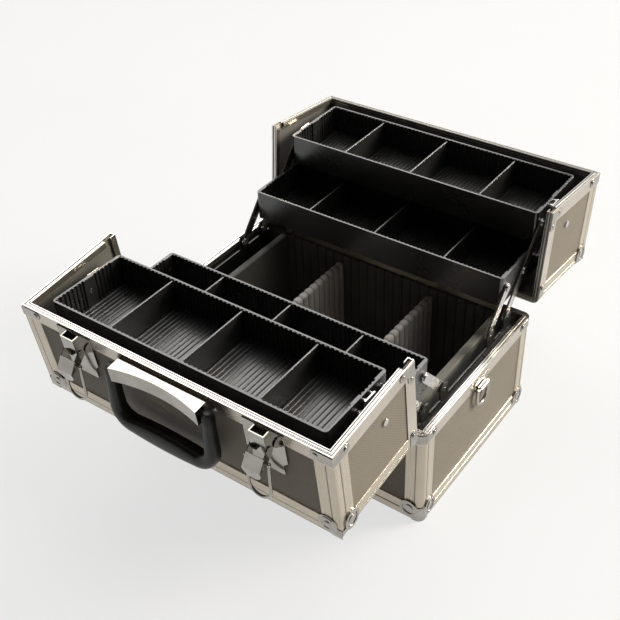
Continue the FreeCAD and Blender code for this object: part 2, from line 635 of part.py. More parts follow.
def pivot_channel():
    """Shelf along the right end wall whose upright web carries the arms' lower pivots on rounded ears."""
    wall_x = HALF_LENGTH - SHELL
    shelf = box(CHANNEL_X, wall_x, -CHANNEL_HALF_LENGTH, CHANNEL_HALF_LENGTH,
                CHANNEL_SHELF_HEIGHT - CHANNEL_WALL, CHANNEL_SHELF_HEIGHT)
    pieces = [shelf,
              box(wall_x - CHANNEL_WALL, wall_x, -CHANNEL_HALF_LENGTH, CHANNEL_HALF_LENGTH,
                  CHANNEL_SHELF_HEIGHT - CHANNEL_SKIRT, CHANNEL_SHELF_HEIGHT),
              box(CHANNEL_X, CHANNEL_X + CHANNEL_WALL, -CHANNEL_HALF_LENGTH, CHANNEL_HALF_LENGTH,
                  CHANNEL_SHELF_HEIGHT - CHANNEL_SKIRT, CHANNEL_WEB_TOP)]
    places = channel_pivots()
    for place in places:
        pieces.append(rod(CHANNEL_EAR_RADIUS, CHANNEL_WALL, Vector(CHANNEL_X, place.y, place.z), X_AXIS))
        pieces.append(box(CHANNEL_X, CHANNEL_X + CHANNEL_WALL, place.y - CHANNEL_EAR_RADIUS,
                          place.y + CHANNEL_EAR_RADIUS, CHANNEL_WEB_TOP - CHANNEL_WALL, place.z))
    channel = pieces[0].fuse(pieces[1:]).removeSplitter()
    for place in places:
        channel = channel.cut(rod(RIVET_RADIUS, BIG, Vector(0, place.y, place.z), X_AXIS))
    return both_ends(channel)


def channel_pivots():
    """Lower pivots of the front and rear arms."""
    front = [BASE_INNER_PIVOT, BASE_OUTER_PIVOT]
    return front + [Vector(0, -place.y, place.z) for place in front]


def base_interior():
    """Grooved lining boards and floor pad of the base, and the two padded dividers."""
    outer_y = LINER_INNER_Y + LINER_WALL
    z0 = SHELL
    pad = box(-LINER_END_X, LINER_END_X, -outer_y, outer_y, z0, z0 + LINER_FLOOR)
    side = box(-LINER_END_X, LINER_END_X, -outer_y, -LINER_INNER_Y, z0 + LINER_FLOOR, LINER_HEIGHT)
    count = int(LINER_END_X / LINER_RIB_PITCH)
    grooves = []
    for step in range(-count, count + 1):
        x = step * LINER_RIB_PITCH
        grooves.append(box(x - LINER_GROOVE_WIDTH / 2, x + LINER_GROOVE_WIDTH / 2,
                           -LINER_INNER_Y - LINER_GROOVE_DEPTH, -LINER_INNER_Y,
                           z0 + LINER_FLOOR, LINER_HEIGHT))
    side = side.cut(grooves)
    end = box(LINER_END_X - LINER_END_WALL, LINER_END_X, -LINER_INNER_Y, LINER_INNER_Y,
              z0 + LINER_FLOOR, LINER_HEIGHT)
    divider = padded_divider()
    return {
        "base_liner": Part.makeCompound([pad, side, to_rear(side), end, end.mirror(ORIGIN, X_AXIS)]),
        "base_divider_right": divider,
        "base_divider_left": divider.mirror(ORIGIN, X_AXIS),
    }


def padded_divider():
    """Right-hand divider: upright padded ribs drawn in at the seams, under a crowned top."""
    half_length = LINER_INNER_Y - FIT_GAP
    crown = DIVIDER_THICKNESS / 2
    seam = crown - DIVIDER_SEAM_DEPTH
    count = round(2 * half_length / DIVIDER_RIB_PITCH)
    pitch = 2 * half_length / count
    foot = SHELL + LINER_FLOOR
    edges = []
    for side in (-1, 1):
        for step in range(count):
            y = -half_length + step * pitch
            edges.append(arc(Vector(side * seam, y, foot), Vector(side * crown, y + pitch / 2, foot),
                                  Vector(side * seam, y + pitch, foot)))
    for y in (-half_length, half_length):
        edges.append(segment(Vector(-seam, y, foot), Vector(seam, y, foot)))
    plan = Part.Face(Part.Wire(Part.__sortEdges__(edges)))
    ribs = plan.extrude(Z_AXIS * (DIVIDER_HEIGHT - foot))
    shoulder = DIVIDER_HEIGHT - crown * math.cos(math.radians(DIVIDER_CROWN_ANGLE))
    corners = [Vector(side * crown, -half_length, z)
               for side, z in ((1, foot), (1, shoulder), (-1, shoulder), (-1, foot))]
    profile = [segment(corners[0], corners[1]),
               arc(corners[1], Vector(0, -half_length, DIVIDER_HEIGHT), corners[2]),
               segment(corners[2], corners[3]), segment(corners[3], corners[0])]
    crowned = Part.Face(Part.Wire(profile)).extrude(Y_AXIS * (2 * half_length))
    divider = ribs.common(crowned)
    divider.translate(Vector(DIVIDER_X, 0, 0))
    return divider


def guide_path(fraction):
    """Place of the lid's guide pin seen from the upper tray, between closed (0) and open (1)."""
    pin = turned_about(HINGE_POINT, guide_pin_place(), LID_OPEN_ANGLE * fraction)
    lean = ARM_CLOSED_ANGLE + ARM_SWING * fraction
    return UPPER_INNER_PIVOT + pin - (BASE_OUTER_PIVOT + arm_vector(lean, 2))


def slot_outline(half_width, x):
    """Round-ended face that follows the pin's path at a distance on both sides."""
    places = [Vector(x, place.y, place.z)
              for place in (guide_path(step / GUIDE_STEPS) for step in range(GUIDE_STEPS + 1))]
    headings = []
    for index in range(GUIDE_STEPS + 1):
        headings.append((places[min(index + 1, GUIDE_STEPS)] - places[max(index - 1, 0)]).normalize())
    edges = []
    sides = []
    for side in (half_width, -half_width):
        sides.append([place + heading.cross(X_AXIS) * side for place, heading in zip(places, headings)])
        curve = Part.BSplineCurve()
        curve.interpolate(sides[-1])
        edges.append(curve.toShape())
    near, far = sides
    edges.append(arc(near[-1], places[-1] + headings[-1] * half_width, far[-1]))
    edges.append(arc(near[0], places[0] - headings[0] * half_width, far[0]))
    return Part.Face(Part.Wire(Part.__sortEdges__(edges)))


def tray_guide():
    """Slotted plate that hangs beside the upper tray's end on two studs, right and left."""
    x0 = ARM_OUTER_X + ARM_GAP
    half_slot = GUIDE_PIN_RADIUS + GUIDE_SLOT_CLEARANCE
    plate = slot_outline(half_slot + GUIDE_MARGIN, x0).extrude(X_AXIS * GUIDE_PLATE)
    top = guide_path(1)
    stud_z = UPPER_INNER_PIVOT.z + GUIDE_STUD_RISE
    half = GUIDE_STUD_HALF_SPACING + GUIDE_STUD_RADIUS
    neck = box(x0, x0 + GUIDE_PLATE, top.y - half, top.y + half, top.z, stud_z + GUIDE_STUD_RADIUS)
    plate = plate.fuse(neck).removeSplitter()
    plate = plate.cut(slot_outline(half_slot, x0).extrude(X_AXIS * GUIDE_PLATE))
    studs = [rod(GUIDE_STUD_RADIUS, x0 - TRAY_END,
                               Vector(TRAY_END, top.y + side * GUIDE_STUD_HALF_SPACING, stud_z), X_AXIS)
             for side in (-1, 1)]
    return both_ends(plate.fuse(studs).removeSplitter())


def on_lid(reach, x=0.0, rise=0.0):
    """A place on the closed front lid's top: reach back from the split edge, rise above the outer face."""
    return Vector(x, SPLIT_Y - reach, LID_TOP + rise)


def latch_plate(x):
    """Flat plate under the latch, stepped in at its far end."""
    half = LATCH_PLATE_WIDTH / 2
    narrow = half - LATCH_PLATE_STEP
    step = LATCH_PLATE_FAR - (LATCH_PLATE_FAR - LATCH_PLATE_NEAR) / 3
    side = [(half, LATCH_PLATE_NEAR), (half, step),
            (narrow, step + LATCH_PLATE_STEP), (narrow, LATCH_PLATE_FAR)]
    outline = side + [(-across, reach) for across, reach in reversed(side)]
    return prism([on_lid(reach, x + across) for across, reach in outline], Z_AXIS * LATCH_PLATE)


def latch_bracket(x):
    """Channel folded from sheet on the plate, with the lever's pivot pin through its cheeks."""
    half = BRACKET_WIDTH / 2
    near = on_lid(BRACKET_NEAR)
    far = on_lid(BRACKET_FAR)
    channel = box(x - half, x + half, far.y, near.y, LID_TOP + LATCH_PLATE, LID_TOP + BRACKET_RISE)
    inside = half - LATCH_PLATE
    channel = channel.cut(box(x - inside, x + inside, far.y, near.y, LID_TOP + LATCH_PLATE,
                              LID_TOP + BRACKET_RISE - LATCH_PLATE))
    pin_half = LEVER_OUTER + FIT_GAP / 2
    return channel.fuse(rod(LATCH_PIVOT_RADIUS, 2 * pin_half, lever_pivot(x - pin_half), X_AXIS))


def lever_pivot(x):
    """Place of the lever's pivot on the closed lid."""
    return on_lid(LATCH_PIVOT_REACH, x, LATCH_PIVOT_RISE)


def bail_pivot(x):
    """Place of the bail's pivot, out along the tilted lever on the closed lid."""
    return turned_about(lever_pivot(x), lever_pivot(x) - Y_AXIS * BAIL_ALONG, -LEVER_TILT)


def latch_lever(x):
    """Flap between two cheeks that turn on the bracket's pin, ending in a round dished tongue."""
    pivot = lever_pivot(x)
    face = pivot.z + LEVER_FACE
    flap_end = pivot.y - LEVER_FLAP_END
    pieces = [box(x - LEVER_OUTER, x + LEVER_OUTER, flap_end, pivot.y - LEVER_FLAP_START,
                  face, face + LEVER_WALL)]
    cheek_outline = [(0, LEVER_HUB_RADIUS), (LEVER_FLAP_START, LEVER_FACE + LEVER_WALL),
                     (LEVER_FLAP_END, LEVER_FACE + LEVER_WALL), (LEVER_FLAP_END, LEVER_FACE - LEVER_WALL),
                     (BAIL_ALONG, -LEVER_HUB_RADIUS / 2), (0, -LEVER_HUB_RADIUS)]
    for start in (x - LEVER_OUTER, x + LEVER_INNER):
        pieces.append(prism([Vector(start, pivot.y - along, pivot.z + out) for along, out in cheek_outline],
                            X_AXIS * LEVER_WALL))
        pieces.append(rod(LEVER_HUB_RADIUS, LEVER_WALL, Vector(start, pivot.y, pivot.z), X_AXIS))
    lever = pieces[0].fuse(pieces[1:] + [latch_tongue(x, flap_end, face)]).removeSplitter()
    lever.rotate(pivot, X_AXIS, -LEVER_TILT)
    lever = lever.cut(rod(LATCH_PIVOT_RADIUS + RUNNING_CLEARANCE, BIG, lever_pivot(x - LENGTH), X_AXIS))
    lever = lever.cut(rod(BAIL_PIN_RADIUS + RUNNING_CLEARANCE, BIG, bail_pivot(x - LENGTH), X_AXIS))
    return lever


def latch_tongue(x, bend_y, face):
    """Half-round tongue turned down at the flap's end, with a shallow dish to press."""
    half = TONGUE_WIDTH / 2
    middle = Vector(x, bend_y - TONGUE_STRAIGHT, face)
    tongue = rod(half, LEVER_WALL, middle, Z_AXIS)
    tongue = tongue.common(box(x - BIG, x + BIG, -BIG, middle.y, face, face + LEVER_WALL))
    tongue = tongue.fuse(box(x - half, x + half, middle.y, bend_y, face, face + LEVER_WALL)).removeSplitter()
    dish_half = half - 2 * LEVER_WALL
    ball_radius = (dish_half ** 2 + TONGUE_DISH ** 2) / (2 * TONGUE_DISH)
    dish_rise = LEVER_WALL - TONGUE_DISH + ball_radius
    tongue = tongue.cut(Part.makeSphere(ball_radius, middle + Z_AXIS * dish_rise))
    fold = Vector(x - LEVER_OUTER, bend_y, face + LEVER_WALL / 2)
    tongue.rotate(fold, X_AXIS, TONGUE_BEND)
    return tongue.fuse(rod(LEVER_WALL / 2, 2 * LEVER_OUTER, fold, X_AXIS))


def bail_hang():
    """Turn that lets a loop hang plumb from the laid-back lid."""
    return LID_OPEN_ANGLE - 90.0


def latch_bail(x):
    """Round-ended wire loop with ball ends, hanging plumb from pins in the lever's cheeks."""
    straight = BAIL_LENGTH - BAIL_HALF_WIDTH
    legs = []
    for way in (-1, 1):
        corner = bail_pivot(x + way * BAIL_HALF_WIDTH)
        legs.append(rod(BAIL_WIRE_RADIUS, straight, corner, -Y_AXIS))
        legs.append(Part.makeSphere(BAIL_BALL_RADIUS, corner))
        legs.append(rod(BAIL_PIN_RADIUS, BAIL_HALF_WIDTH - LEVER_INNER, corner, X_AXIS * -way))
    far = bail_pivot(x) - Y_AXIS * straight
    bend = Part.makeTorus(BAIL_HALF_WIDTH, BAIL_WIRE_RADIUS, far, Z_AXIS)
    bend = bend.common(box(x - BIG, x + BIG, far.y - BIG, far.y, 0, BIG))
    loop = bend.fuse(legs).removeSplitter()
    loop.rotate(bail_pivot(x), X_AXIS, -bail_hang())
    return loop


def latch_catch(x):
    """Sloping hook for a bail to pass over, placed as on the front half until it is mirrored to the rear."""
    near = on_lid(CATCH_NEAR)
    foot = box(x - CATCH_WIDTH, x + CATCH_WIDTH, near.y - CATCH_FOOT, near.y, LID_TOP, LID_TOP + LATCH_PLATE)
    start = x - CATCH_WIDTH / 2
    outline = [(CATCH_NEAR, LATCH_PLATE), (CATCH_TIP - CATCH_WALL, CATCH_RISE), (CATCH_TIP, CATCH_RISE),
               (CATCH_TIP, CATCH_RISE - CATCH_WALL), (CATCH_NEAR + 2 * CATCH_WALL, LATCH_PLATE)]
    hook = prism([on_lid(reach, start, rise) for reach, rise in outline], X_AXIS * CATCH_WIDTH)
    return foot.fuse(hook).removeSplitter()


def handle_mount():
    """Chrome bridge with a waisted front that carries the handle between its ends."""
    half = HANDLE_MOUNT_LENGTH / 2
    start = on_lid(HANDLE_MOUNT_FAR)
    near = on_lid(HANDLE_MOUNT_NEAR)
    top = LID_TOP + HANDLE_MOUNT_RISE
    corners = [Vector(-half, start.y, LID_TOP), Vector(half, start.y, LID_TOP),
               Vector(half, start.y, top), Vector(-half, start.y, top)]
    waist = Vector(0, start.y, LID_TOP + HANDLE_WAIST_RISE)
    edges = [segment(corners[0], corners[1]), segment(corners[1], corners[2]),
             arc(corners[2], waist, corners[3]), segment(corners[3], corners[0])]
    bridge = Part.Face(Part.Wire(edges)).extrude(Y_AXIS * (near.y - start.y))
    bore = rod(HANDLE_PIVOT_RADIUS + RUNNING_CLEARANCE, 2 * BIG,
                             on_lid(HANDLE_PIVOT_REACH, -BIG, HANDLE_PIVOT_RISE), X_AXIS)
    core = box(-half + HANDLE_PIVOT_LENGTH + END_CLEARANCE, half - HANDLE_PIVOT_LENGTH - END_CLEARANCE,
               start.y, near.y, LID_TOP, LID_TOP + HANDLE_MOUNT_RISE)
    return bridge.cut(bore.cut(core))


def handle():
    """Black loop with a barrel grip, on two stub pivots, hanging plumb."""
    pivot = on_lid(HANDLE_PIVOT_REACH, 0, HANDLE_PIVOT_RISE)
    inner = HANDLE_MOUNT_LENGTH / 2 + END_CLEARANCE
    outer = inner + HANDLE_ARM_WIDTH
    middle = (inner + outer) / 2
    thick = HANDLE_ARM_HALF_DEPTH
    bend = HANDLE_BEND_RADIUS
    low = pivot.y - HANDLE_DROP
    diagonal = bend * math.sin(math.radians(45))
    right = [Vector(middle - bend, low, pivot.z),
             Vector(middle - bend + diagonal, low + bend - diagonal, pivot.z),
             Vector(middle, low + bend, pivot.z), Vector(middle, pivot.y, pivot.z)]
    places = [Vector(-place.x, place.y, place.z) for place in reversed(right)] + right
    path = Part.Wire([segment(places[0], places[1]), arc(*places[1:4]),
                      segment(places[3], places[4]), arc(*places[4:7]),
                      segment(places[6], places[7])])
    section = Part.Wire(Part.Ellipse(places[0], thick, HANDLE_ARM_WIDTH / 2).toShape())
    section.rotate(places[0], X_AXIS, 90)
    section.rotate(places[0], Y_AXIS, 90)
    loop = path.makePipeShell([section], True, False)
    grip_profile = [arc(Vector(-GRIP_HALF_LENGTH, low + GRIP_END_RADIUS, pivot.z),
                             Vector(0, low + GRIP_RADIUS, pivot.z),
                             Vector(GRIP_HALF_LENGTH, low + GRIP_END_RADIUS, pivot.z))]
    ends = [Vector(-GRIP_HALF_LENGTH, low, pivot.z), Vector(GRIP_HALF_LENGTH, low, pivot.z)]
    grip_profile += [segment(grip_profile[0].valueAt(grip_profile[0].LastParameter), ends[1]),
                     segment(ends[1], ends[0]),
                     segment(ends[0], grip_profile[0].valueAt(grip_profile[0].FirstParameter))]
    grip = Part.Face(Part.Wire(Part.__sortEdges__(grip_profile))).revolve(ends[0], X_AXIS, 360)
    pieces = [grip]
    for side in (-1, 1):
        hub = Vector(side * inner, pivot.y, pivot.z)
        pieces.append(rod(thick + FIT_GAP, HANDLE_ARM_WIDTH, hub, X_AXIS * side))
        pieces.append(rod(HANDLE_PIVOT_RADIUS, HANDLE_PIVOT_LENGTH + END_CLEARANCE, hub, X_AXIS * -side))
    whole = loop.fuse(pieces).removeSplitter()
    whole.rotate(pivot, X_AXIS, -bail_hang())
    return whole


def ring_clip():
    """Folded clip under the right end's rim that holds the strap ring."""
    face = HALF_LENGTH
    half = RING_CLIP_WIDTH / 2
    bore = RING_WIRE_RADIUS + RING_GAP
    axis_x = face + RING_CLIP_WALL + bore
    clip_top = BASE_HEIGHT - RING_CLIP_DROP
    axis_z = clip_top - RING_CLIP_HEIGHT + bore
    leaf = box(face, face + RING_CLIP_WALL, -half, half, axis_z, clip_top)
    roll = rod(bore + RING_CLIP_WALL, RING_CLIP_WIDTH, Vector(axis_x, -half, axis_z), Y_AXIS)
    roll = roll.common(box(face, BIG, -half, half, 0, BIG))
    hole = rod(RING_WIRE_RADIUS + RUNNING_CLEARANCE, RING_CLIP_WIDTH,
                             Vector(axis_x, -half, axis_z), Y_AXIS)
    notch_half = RING_CLIP_WIDTH / 2 - (RING_CLIP_WIDTH / 2 - RING_HALF_WIDTH) - RING_WIRE_RADIUS * 2
    tab = box(face, axis_x + bore + RING_CLIP_WALL, -notch_half, notch_half, 0, BIG)
    return leaf.fuse(roll.common(tab)).removeSplitter().cut(hole), Vector(axis_x, 0, axis_z)


def strap_ring(place):
    """D-shaped wire ring through the clip, hanging plumb."""
    straight = RING_HEIGHT - RING_HALF_WIDTH
    bar_top = rod(RING_WIRE_RADIUS, 2 * RING_HALF_WIDTH, place - Y_AXIS * RING_HALF_WIDTH, Y_AXIS)
    pieces = []
    for side in (-1, 1):
        corner = place + Y_AXIS * side * RING_HALF_WIDTH
        pieces.append(Part.makeSphere(RING_WIRE_RADIUS, corner))
        pieces.append(rod(RING_WIRE_RADIUS, straight, corner, -Z_AXIS))
    bend_centre = place - Z_AXIS * straight
    bend = Part.makeTorus(RING_HALF_WIDTH, RING_WIRE_RADIUS, bend_centre, X_AXIS)
    bend = bend.common(box(-BIG, BIG, -BIG, BIG, bend_centre.z - BIG, bend_centre.z))
    return bar_top.fuse(pieces + [bend]).removeSplitter()


def build():
    """Every piece of the open case by name."""
    nodes = base_shell()
    nodes.update(base_interior())
    nodes["pivot_channels"] = pivot_channel()
    nodes["channel_rivets"] = rivets(channel_pivots(), CHANNEL_X + CHANNEL_WALL, ARM_INNER_X - RIVET_PLAY)
    clip, ring_place = ring_clip()
    nodes["ring_clips"] = both_ends(clip)
    right_ring = strap_ring(ring_place)
    nodes["strap_ring_right"] = right_ring
    nodes["strap_ring_left"] = right_ring.mirror(ORIGIN, X_AXIS)

    base_leaves, lid_leaves, pins = hinges()
    nodes["hinge_base_leaves"] = Part.makeCompound(base_leaves + [to_rear(leaf) for leaf in base_leaves])
    nodes["hinge_pins"] = Part.makeCompound(pins + [to_rear(pin) for pin in pins])
    lid = {name: opened(shape) for name, shape in lid_shell().items()}
    lid["lid_hinge_leaves"] = opened(Part.makeCompound(lid_leaves))
    trays = {
        "lower_tray": tray(LOWER_TRAY_EDGE, LOWER_TRAY_RIM,
                           [LOWER_INNER_PIVOT, LOWER_MIDDLE_PIVOT, LOWER_OUTER_PIVOT]),
        "lower_tray_dividers": tray_dividers(LOWER_TRAY_EDGE, LOWER_TRAY_RIM),
        "lower_tray_rivets": rivets([LOWER_INNER_PIVOT, LOWER_MIDDLE_PIVOT, LOWER_OUTER_PIVOT],
                                    TRAY_END - TRAY_WALL - TRAY_PAD_DEPTH, ARM_OUTER_X + RIVET_PLAY),
        "upper_tray": tray(UPPER_TRAY_EDGE, UPPER_TRAY_RIM, [UPPER_INNER_PIVOT, UPPER_MIDDLE_PIVOT]),
        "upper_tray_dividers": tray_dividers(UPPER_TRAY_EDGE, UPPER_TRAY_RIM),
        "upper_tray_rivets": rivets([UPPER_INNER_PIVOT, UPPER_MIDDLE_PIVOT],
                                    TRAY_END - TRAY_WALL - TRAY_PAD_DEPTH, ARM_OUTER_X + RIVET_PLAY),
        "upper_tray_guides": tray_guide(),
        "short_arms": arm([BASE_INNER_PIVOT, LOWER_INNER_PIVOT]),
        "long_arms": arm([BASE_OUTER_PIVOT, LOWER_MIDDLE_PIVOT, UPPER_INNER_PIVOT]),
        "upper_arms": arm([LOWER_OUTER_PIVOT, UPPER_MIDDLE_PIVOT]),
    }
    for name, shape in {**lid, **trays}.items():
        nodes["front_" + name] = shape
        nodes["rear_" + name] = to_rear(shape)

    nodes["latch_plates"] = opened(Part.makeCompound([latch_plate(side * LATCH_X) for side in (-1, 1)]))
    nodes["latch_brackets"] = opened(Part.makeCompound([latch_bracket(side * LATCH_X) for side in (-1, 1)]))
    for name, side in (("left", -1), ("right", 1)):
        nodes["latch_lever_" + name] = opened(latch_lever(side * LATCH_X))
        nodes["latch_bail_" + name] = opened(latch_bail(side * LATCH_X))
    catches = Part.makeCompound([latch_catch(side * LATCH_X) for side in (-1, 1)])
    nodes["latch_catches"] = to_rear(opened(catches))
    nodes["handle_mount"] = opened(handle_mount())
    nodes["handle"] = opened(handle())
    return nodes


def main():
    os.makedirs("parts", exist_ok=True)
    for name, shape in build().items():
        shape.exportStep(os.path.join("parts", name + ".step"))


main()
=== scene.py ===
"""Looks of the makeup train case.

Materials for every piece, ribbed trays, padded inner parts, handle, small fittings, stage, lamps and camera.
"""
import bpy
import bmesh
import json
import math
import numpy as np
from mathutils import Matrix, Vector

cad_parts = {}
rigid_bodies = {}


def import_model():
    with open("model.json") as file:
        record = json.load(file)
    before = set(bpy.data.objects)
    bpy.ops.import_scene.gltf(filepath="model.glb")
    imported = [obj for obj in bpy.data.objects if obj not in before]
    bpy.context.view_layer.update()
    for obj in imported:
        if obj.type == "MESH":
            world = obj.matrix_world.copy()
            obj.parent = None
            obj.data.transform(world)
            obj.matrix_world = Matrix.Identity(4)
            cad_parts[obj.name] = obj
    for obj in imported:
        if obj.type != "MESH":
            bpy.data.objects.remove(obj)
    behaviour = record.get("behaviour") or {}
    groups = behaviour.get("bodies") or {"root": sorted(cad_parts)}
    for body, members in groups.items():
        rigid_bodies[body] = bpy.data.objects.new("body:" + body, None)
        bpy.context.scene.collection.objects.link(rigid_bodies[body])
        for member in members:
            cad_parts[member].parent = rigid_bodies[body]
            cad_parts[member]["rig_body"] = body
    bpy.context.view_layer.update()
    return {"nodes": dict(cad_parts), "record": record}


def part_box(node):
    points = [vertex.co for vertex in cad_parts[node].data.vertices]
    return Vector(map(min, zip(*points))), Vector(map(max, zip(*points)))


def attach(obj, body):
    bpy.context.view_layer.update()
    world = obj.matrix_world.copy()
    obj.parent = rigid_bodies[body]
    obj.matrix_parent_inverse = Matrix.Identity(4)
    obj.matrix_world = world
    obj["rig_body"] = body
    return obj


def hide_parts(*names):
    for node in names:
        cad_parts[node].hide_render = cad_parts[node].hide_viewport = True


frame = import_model()
NODES = frame["nodes"]
MM = 0.001
LID_TURN = {"front": math.radians(96.0), "rear": math.radians(-96.0)}

# Reading of faces: least shares of a direction that count as facing it
FACING_SHARE = 0.75
STRIP_SHARE = 0.95
CREST_SHARE = 0.9
TINY_AREA = 1e-15
TINY_LENGTH = 1e-9

# Patterns and sections of the materials: (distance from the border, height) at each stop
NOSE = ((0.0, 0.0), (0.6 * MM, 0.42), (1.6 * MM, 0.75), (3.2 * MM, 0.96), (4.6 * MM, 1.0))
BAND_GROOVE = ((7.6 * MM, 0.0), (8.1 * MM, 1.0), (8.9 * MM, 1.0), (9.4 * MM, 0.0))
BAND_REACH = 20 * MM
NOSE_HEIGHT = 1.2 * MM
RIM_LINES = ((1.4 * MM, 0.0), (1.7 * MM, 1.0), (2.4 * MM, 1.0), (2.7 * MM, 0.0),
             (4.4 * MM, 0.0), (4.7 * MM, 1.0), (5.4 * MM, 1.0), (5.7 * MM, 0.0))
RIM_REACH = 10 * MM
DOT_PITCH = 2.3 * MM
LINING_WEAVE = 1.1 * MM
PADDING_WEAVE = 0.9 * MM

# Lighter edges: share of a rounded normal along the face's own, on the flats and where the lighter edge
# colour is full
EDGE_SAMPLES = 4
EDGE_FLAT = 0.995
EDGE_FULL = 0.8

# Sockets of a colour Mix node
MIX_FACTOR, MIX_FIRST, MIX_SECOND, MIX_RESULT = 0, 6, 7, 2

# Trays
TRAY_WALL = 2.0 * MM
TRAY_FLOOR = 2.0 * MM
TRAY_MIDDLE_X = 2.0 * MM
TOOTH_PITCH = 88.5 / 17 * MM
TOOTH_WIDTH = 2.7 * MM
TOOTH_DEPTH = 1.1 * MM
TOOTH_DROP = 0.25 * MM
SEAT = 0.1 * MM
RIB_SECTION = ((1.0, 0.0), (0.9, 0.45), (0.68, 0.8), (0.34, 0.98),
               (-0.34, 0.98), (-0.68, 0.8), (-0.9, 0.45), (-1.0, 0.0))
PAD_PLACES = {"lower": (9.5 * MM, 47.1 * MM, 84.7 * MM), "upper": (9.3 * MM, 46.9 * MM)}
PAD_CLEAR = 8.8 * MM

# Padded parts of the base
RIB_COUNT = 20
RIB_STEPS = 12
RIB_FULLNESS = 2.6
SEAM_DEPTH = 1.7 * MM
SEAM_TIGHTNESS = 8
DIVIDER_SIDE_STEPS = 16
DIVIDER_CROWN_STEPS = 14
DIVIDER_BELLY = 0.02
BELLY_WAVES, BELLY_DRIFT = 3, 40.0
SLOW_SWAY, SLOW_SWAY_RATE = 0.05, 91.0
QUICK_SWAY, QUICK_SWAY_RATE = 0.04, 233.0
LINER_WALL = 4.0 * MM
LINER_END_WALL = 9.0 * MM
LINER_FLOOR = 3.0 * MM
LINER_PITCH = 12.0 * MM
LINER_STEPS = 8
LINER_SEAM_DEPTH = 1.5 * MM
LINER_FULLNESS = 5
LINER_SEAM_TIGHTNESS = 10
LINER_ROUND = 1.6 * MM
LINER_ROUND_STEPS = 6
SLAB_EDGE = ((0.0, 1.0), (0.3, 0.3), (1.0, 0.0))

# Handle
HANDLE_HUB_RADIUS = 6.1 * MM
HANDLE_ARM = 11.0 * MM
HANDLE_ARM_DEPTH = 6.0 * MM
HANDLE_GRIP = 11.0 * MM
HANDLE_CORNER = 8.2 * MM
HANDLE_BEND = 18.0 * MM
HANDLE_STUB = 3.0 * MM
HANDLE_STUB_LENGTH = 7.0 * MM
HANDLE_ARM_PLACES = (-4, 0, 8, 16, 24)
HANDLE_GRIP_PLACES = (0.8, 0.6, 0.4, 0.2, 0.0)
HANDLE_BEND_STEPS = 10
HANDLE_SIDES = 28
HANDLE_SQUARENESS = 0.75
HANDLE_END = 0.55
STUB_SIDES = 16

# Lids, as they stand when closed; bare lengths are in millimetres
HINGE_Y = 120.9 * MM
HINGE_Z = 119.6 * MM
LID_FACE = 248.5
LID_END = 182.5
LID_BACK = 112.5
BOSS_X = 168.0
BOSS_Y = 98.0
CAP_CORNER = 12.0 * MM
CAP_THICK = 0.9 * MM
CAP_ROWS = ((0.0, 0.0), (0.6, 0.0), (1.0, 0.06))
TURNED_SIDES = 28
BOSS = [(radius * MM, height * MM) for radius, height in (
    (10.5, 0.0), (10.5, 0.5), (10.1, 1.0), (9.3, 1.1), (8.7, 1.8), (6.6, 1.8), (6.0, 1.2),
    (3.4, 1.2), (3.0, 2.0), (2.0, 2.4), (0.2, 2.5))]
RIVET = [(radius * MM, height * MM) for radius, height in (
    (2.3, 0.0), (2.2, 0.4), (1.6, 0.8), (0.2, 1.0))]
ANGLE_Y = -1.2
ANGLE_Z = 124.2
ANGLE_ARM = 23.0
ANGLE_WIDTH = 10.5
ANGLE_SEAT = 0.3
ANGLE_RISE = 0.8
ANGLE_FILLET = 1.5
ANGLE_TIP_STEPS = 9
HINGE_FACE = 113.9
HINGE_RIVETS = (80.0, 110.0)
HINGE_BASE_RIVET = 104.0
HINGE_LID_RIVET = 139.0


# Surface coordinates that follow each strip or panel

def body_axes(node):
    """Axes of the body that a node belongs to, as it stands at rest."""
    body = NODES[node]["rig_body"]
    side = body.split("_")[0]
    lid_borne = body.endswith("_lid") or body.startswith(("latch", "handle"))
    angle = LID_TURN.get(side, LID_TURN["front"]) if lid_borne else 0.0
    return np.array(Matrix.Rotation(angle, 3, "X")).T


def write_grain(obj, axes):
    """A vector on every corner: along the face's long way, across it, and out of it, in metres."""
    mesh = obj.data
    points = np.empty(len(mesh.vertices) * 3)
    mesh.vertices.foreach_get("co", points)
    loops = np.empty(len(mesh.loops), dtype=int)
    mesh.loops.foreach_get("vertex_index", loops)
    corners = points.reshape(-1, 3)[loops.reshape(-1, 3)]
    edges = np.roll(corners, -1, axis=1) - corners
    longest = edges[np.arange(len(edges)), (edges ** 2).sum(2).argmax(1)]
    normal = np.cross(edges[:, 0], edges[:, 1])
    normal /= np.maximum(np.linalg.norm(normal, axis=1, keepdims=True), TINY_AREA)
    share = np.abs(longest @ axes.T) * (np.abs(normal @ axes.T) < FACING_SHARE)
    along = axes[share.argmax(1)]
    along = along - normal * (along * normal).sum(1, keepdims=True)
    along /= np.maximum(np.linalg.norm(along, axis=1, keepdims=True), TINY_LENGTH)
    across = np.cross(normal, along)
    largest = np.take_along_axis(across, np.abs(across).argmax(1)[:, None], 1)
    across *= np.where(largest < 0, -1.0, 1.0)
    ways = np.stack([along, across, normal], axis=2)
    layer = mesh.attributes.new("grain", "FLOAT_VECTOR", "CORNER")
    layer.data.foreach_set("vector", (corners @ ways).ravel().astype(np.float32))
    write_inset(mesh, corners @ axes.T, np.abs(across @ axes.T))
    write_crest(mesh, normal, obj["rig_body"])


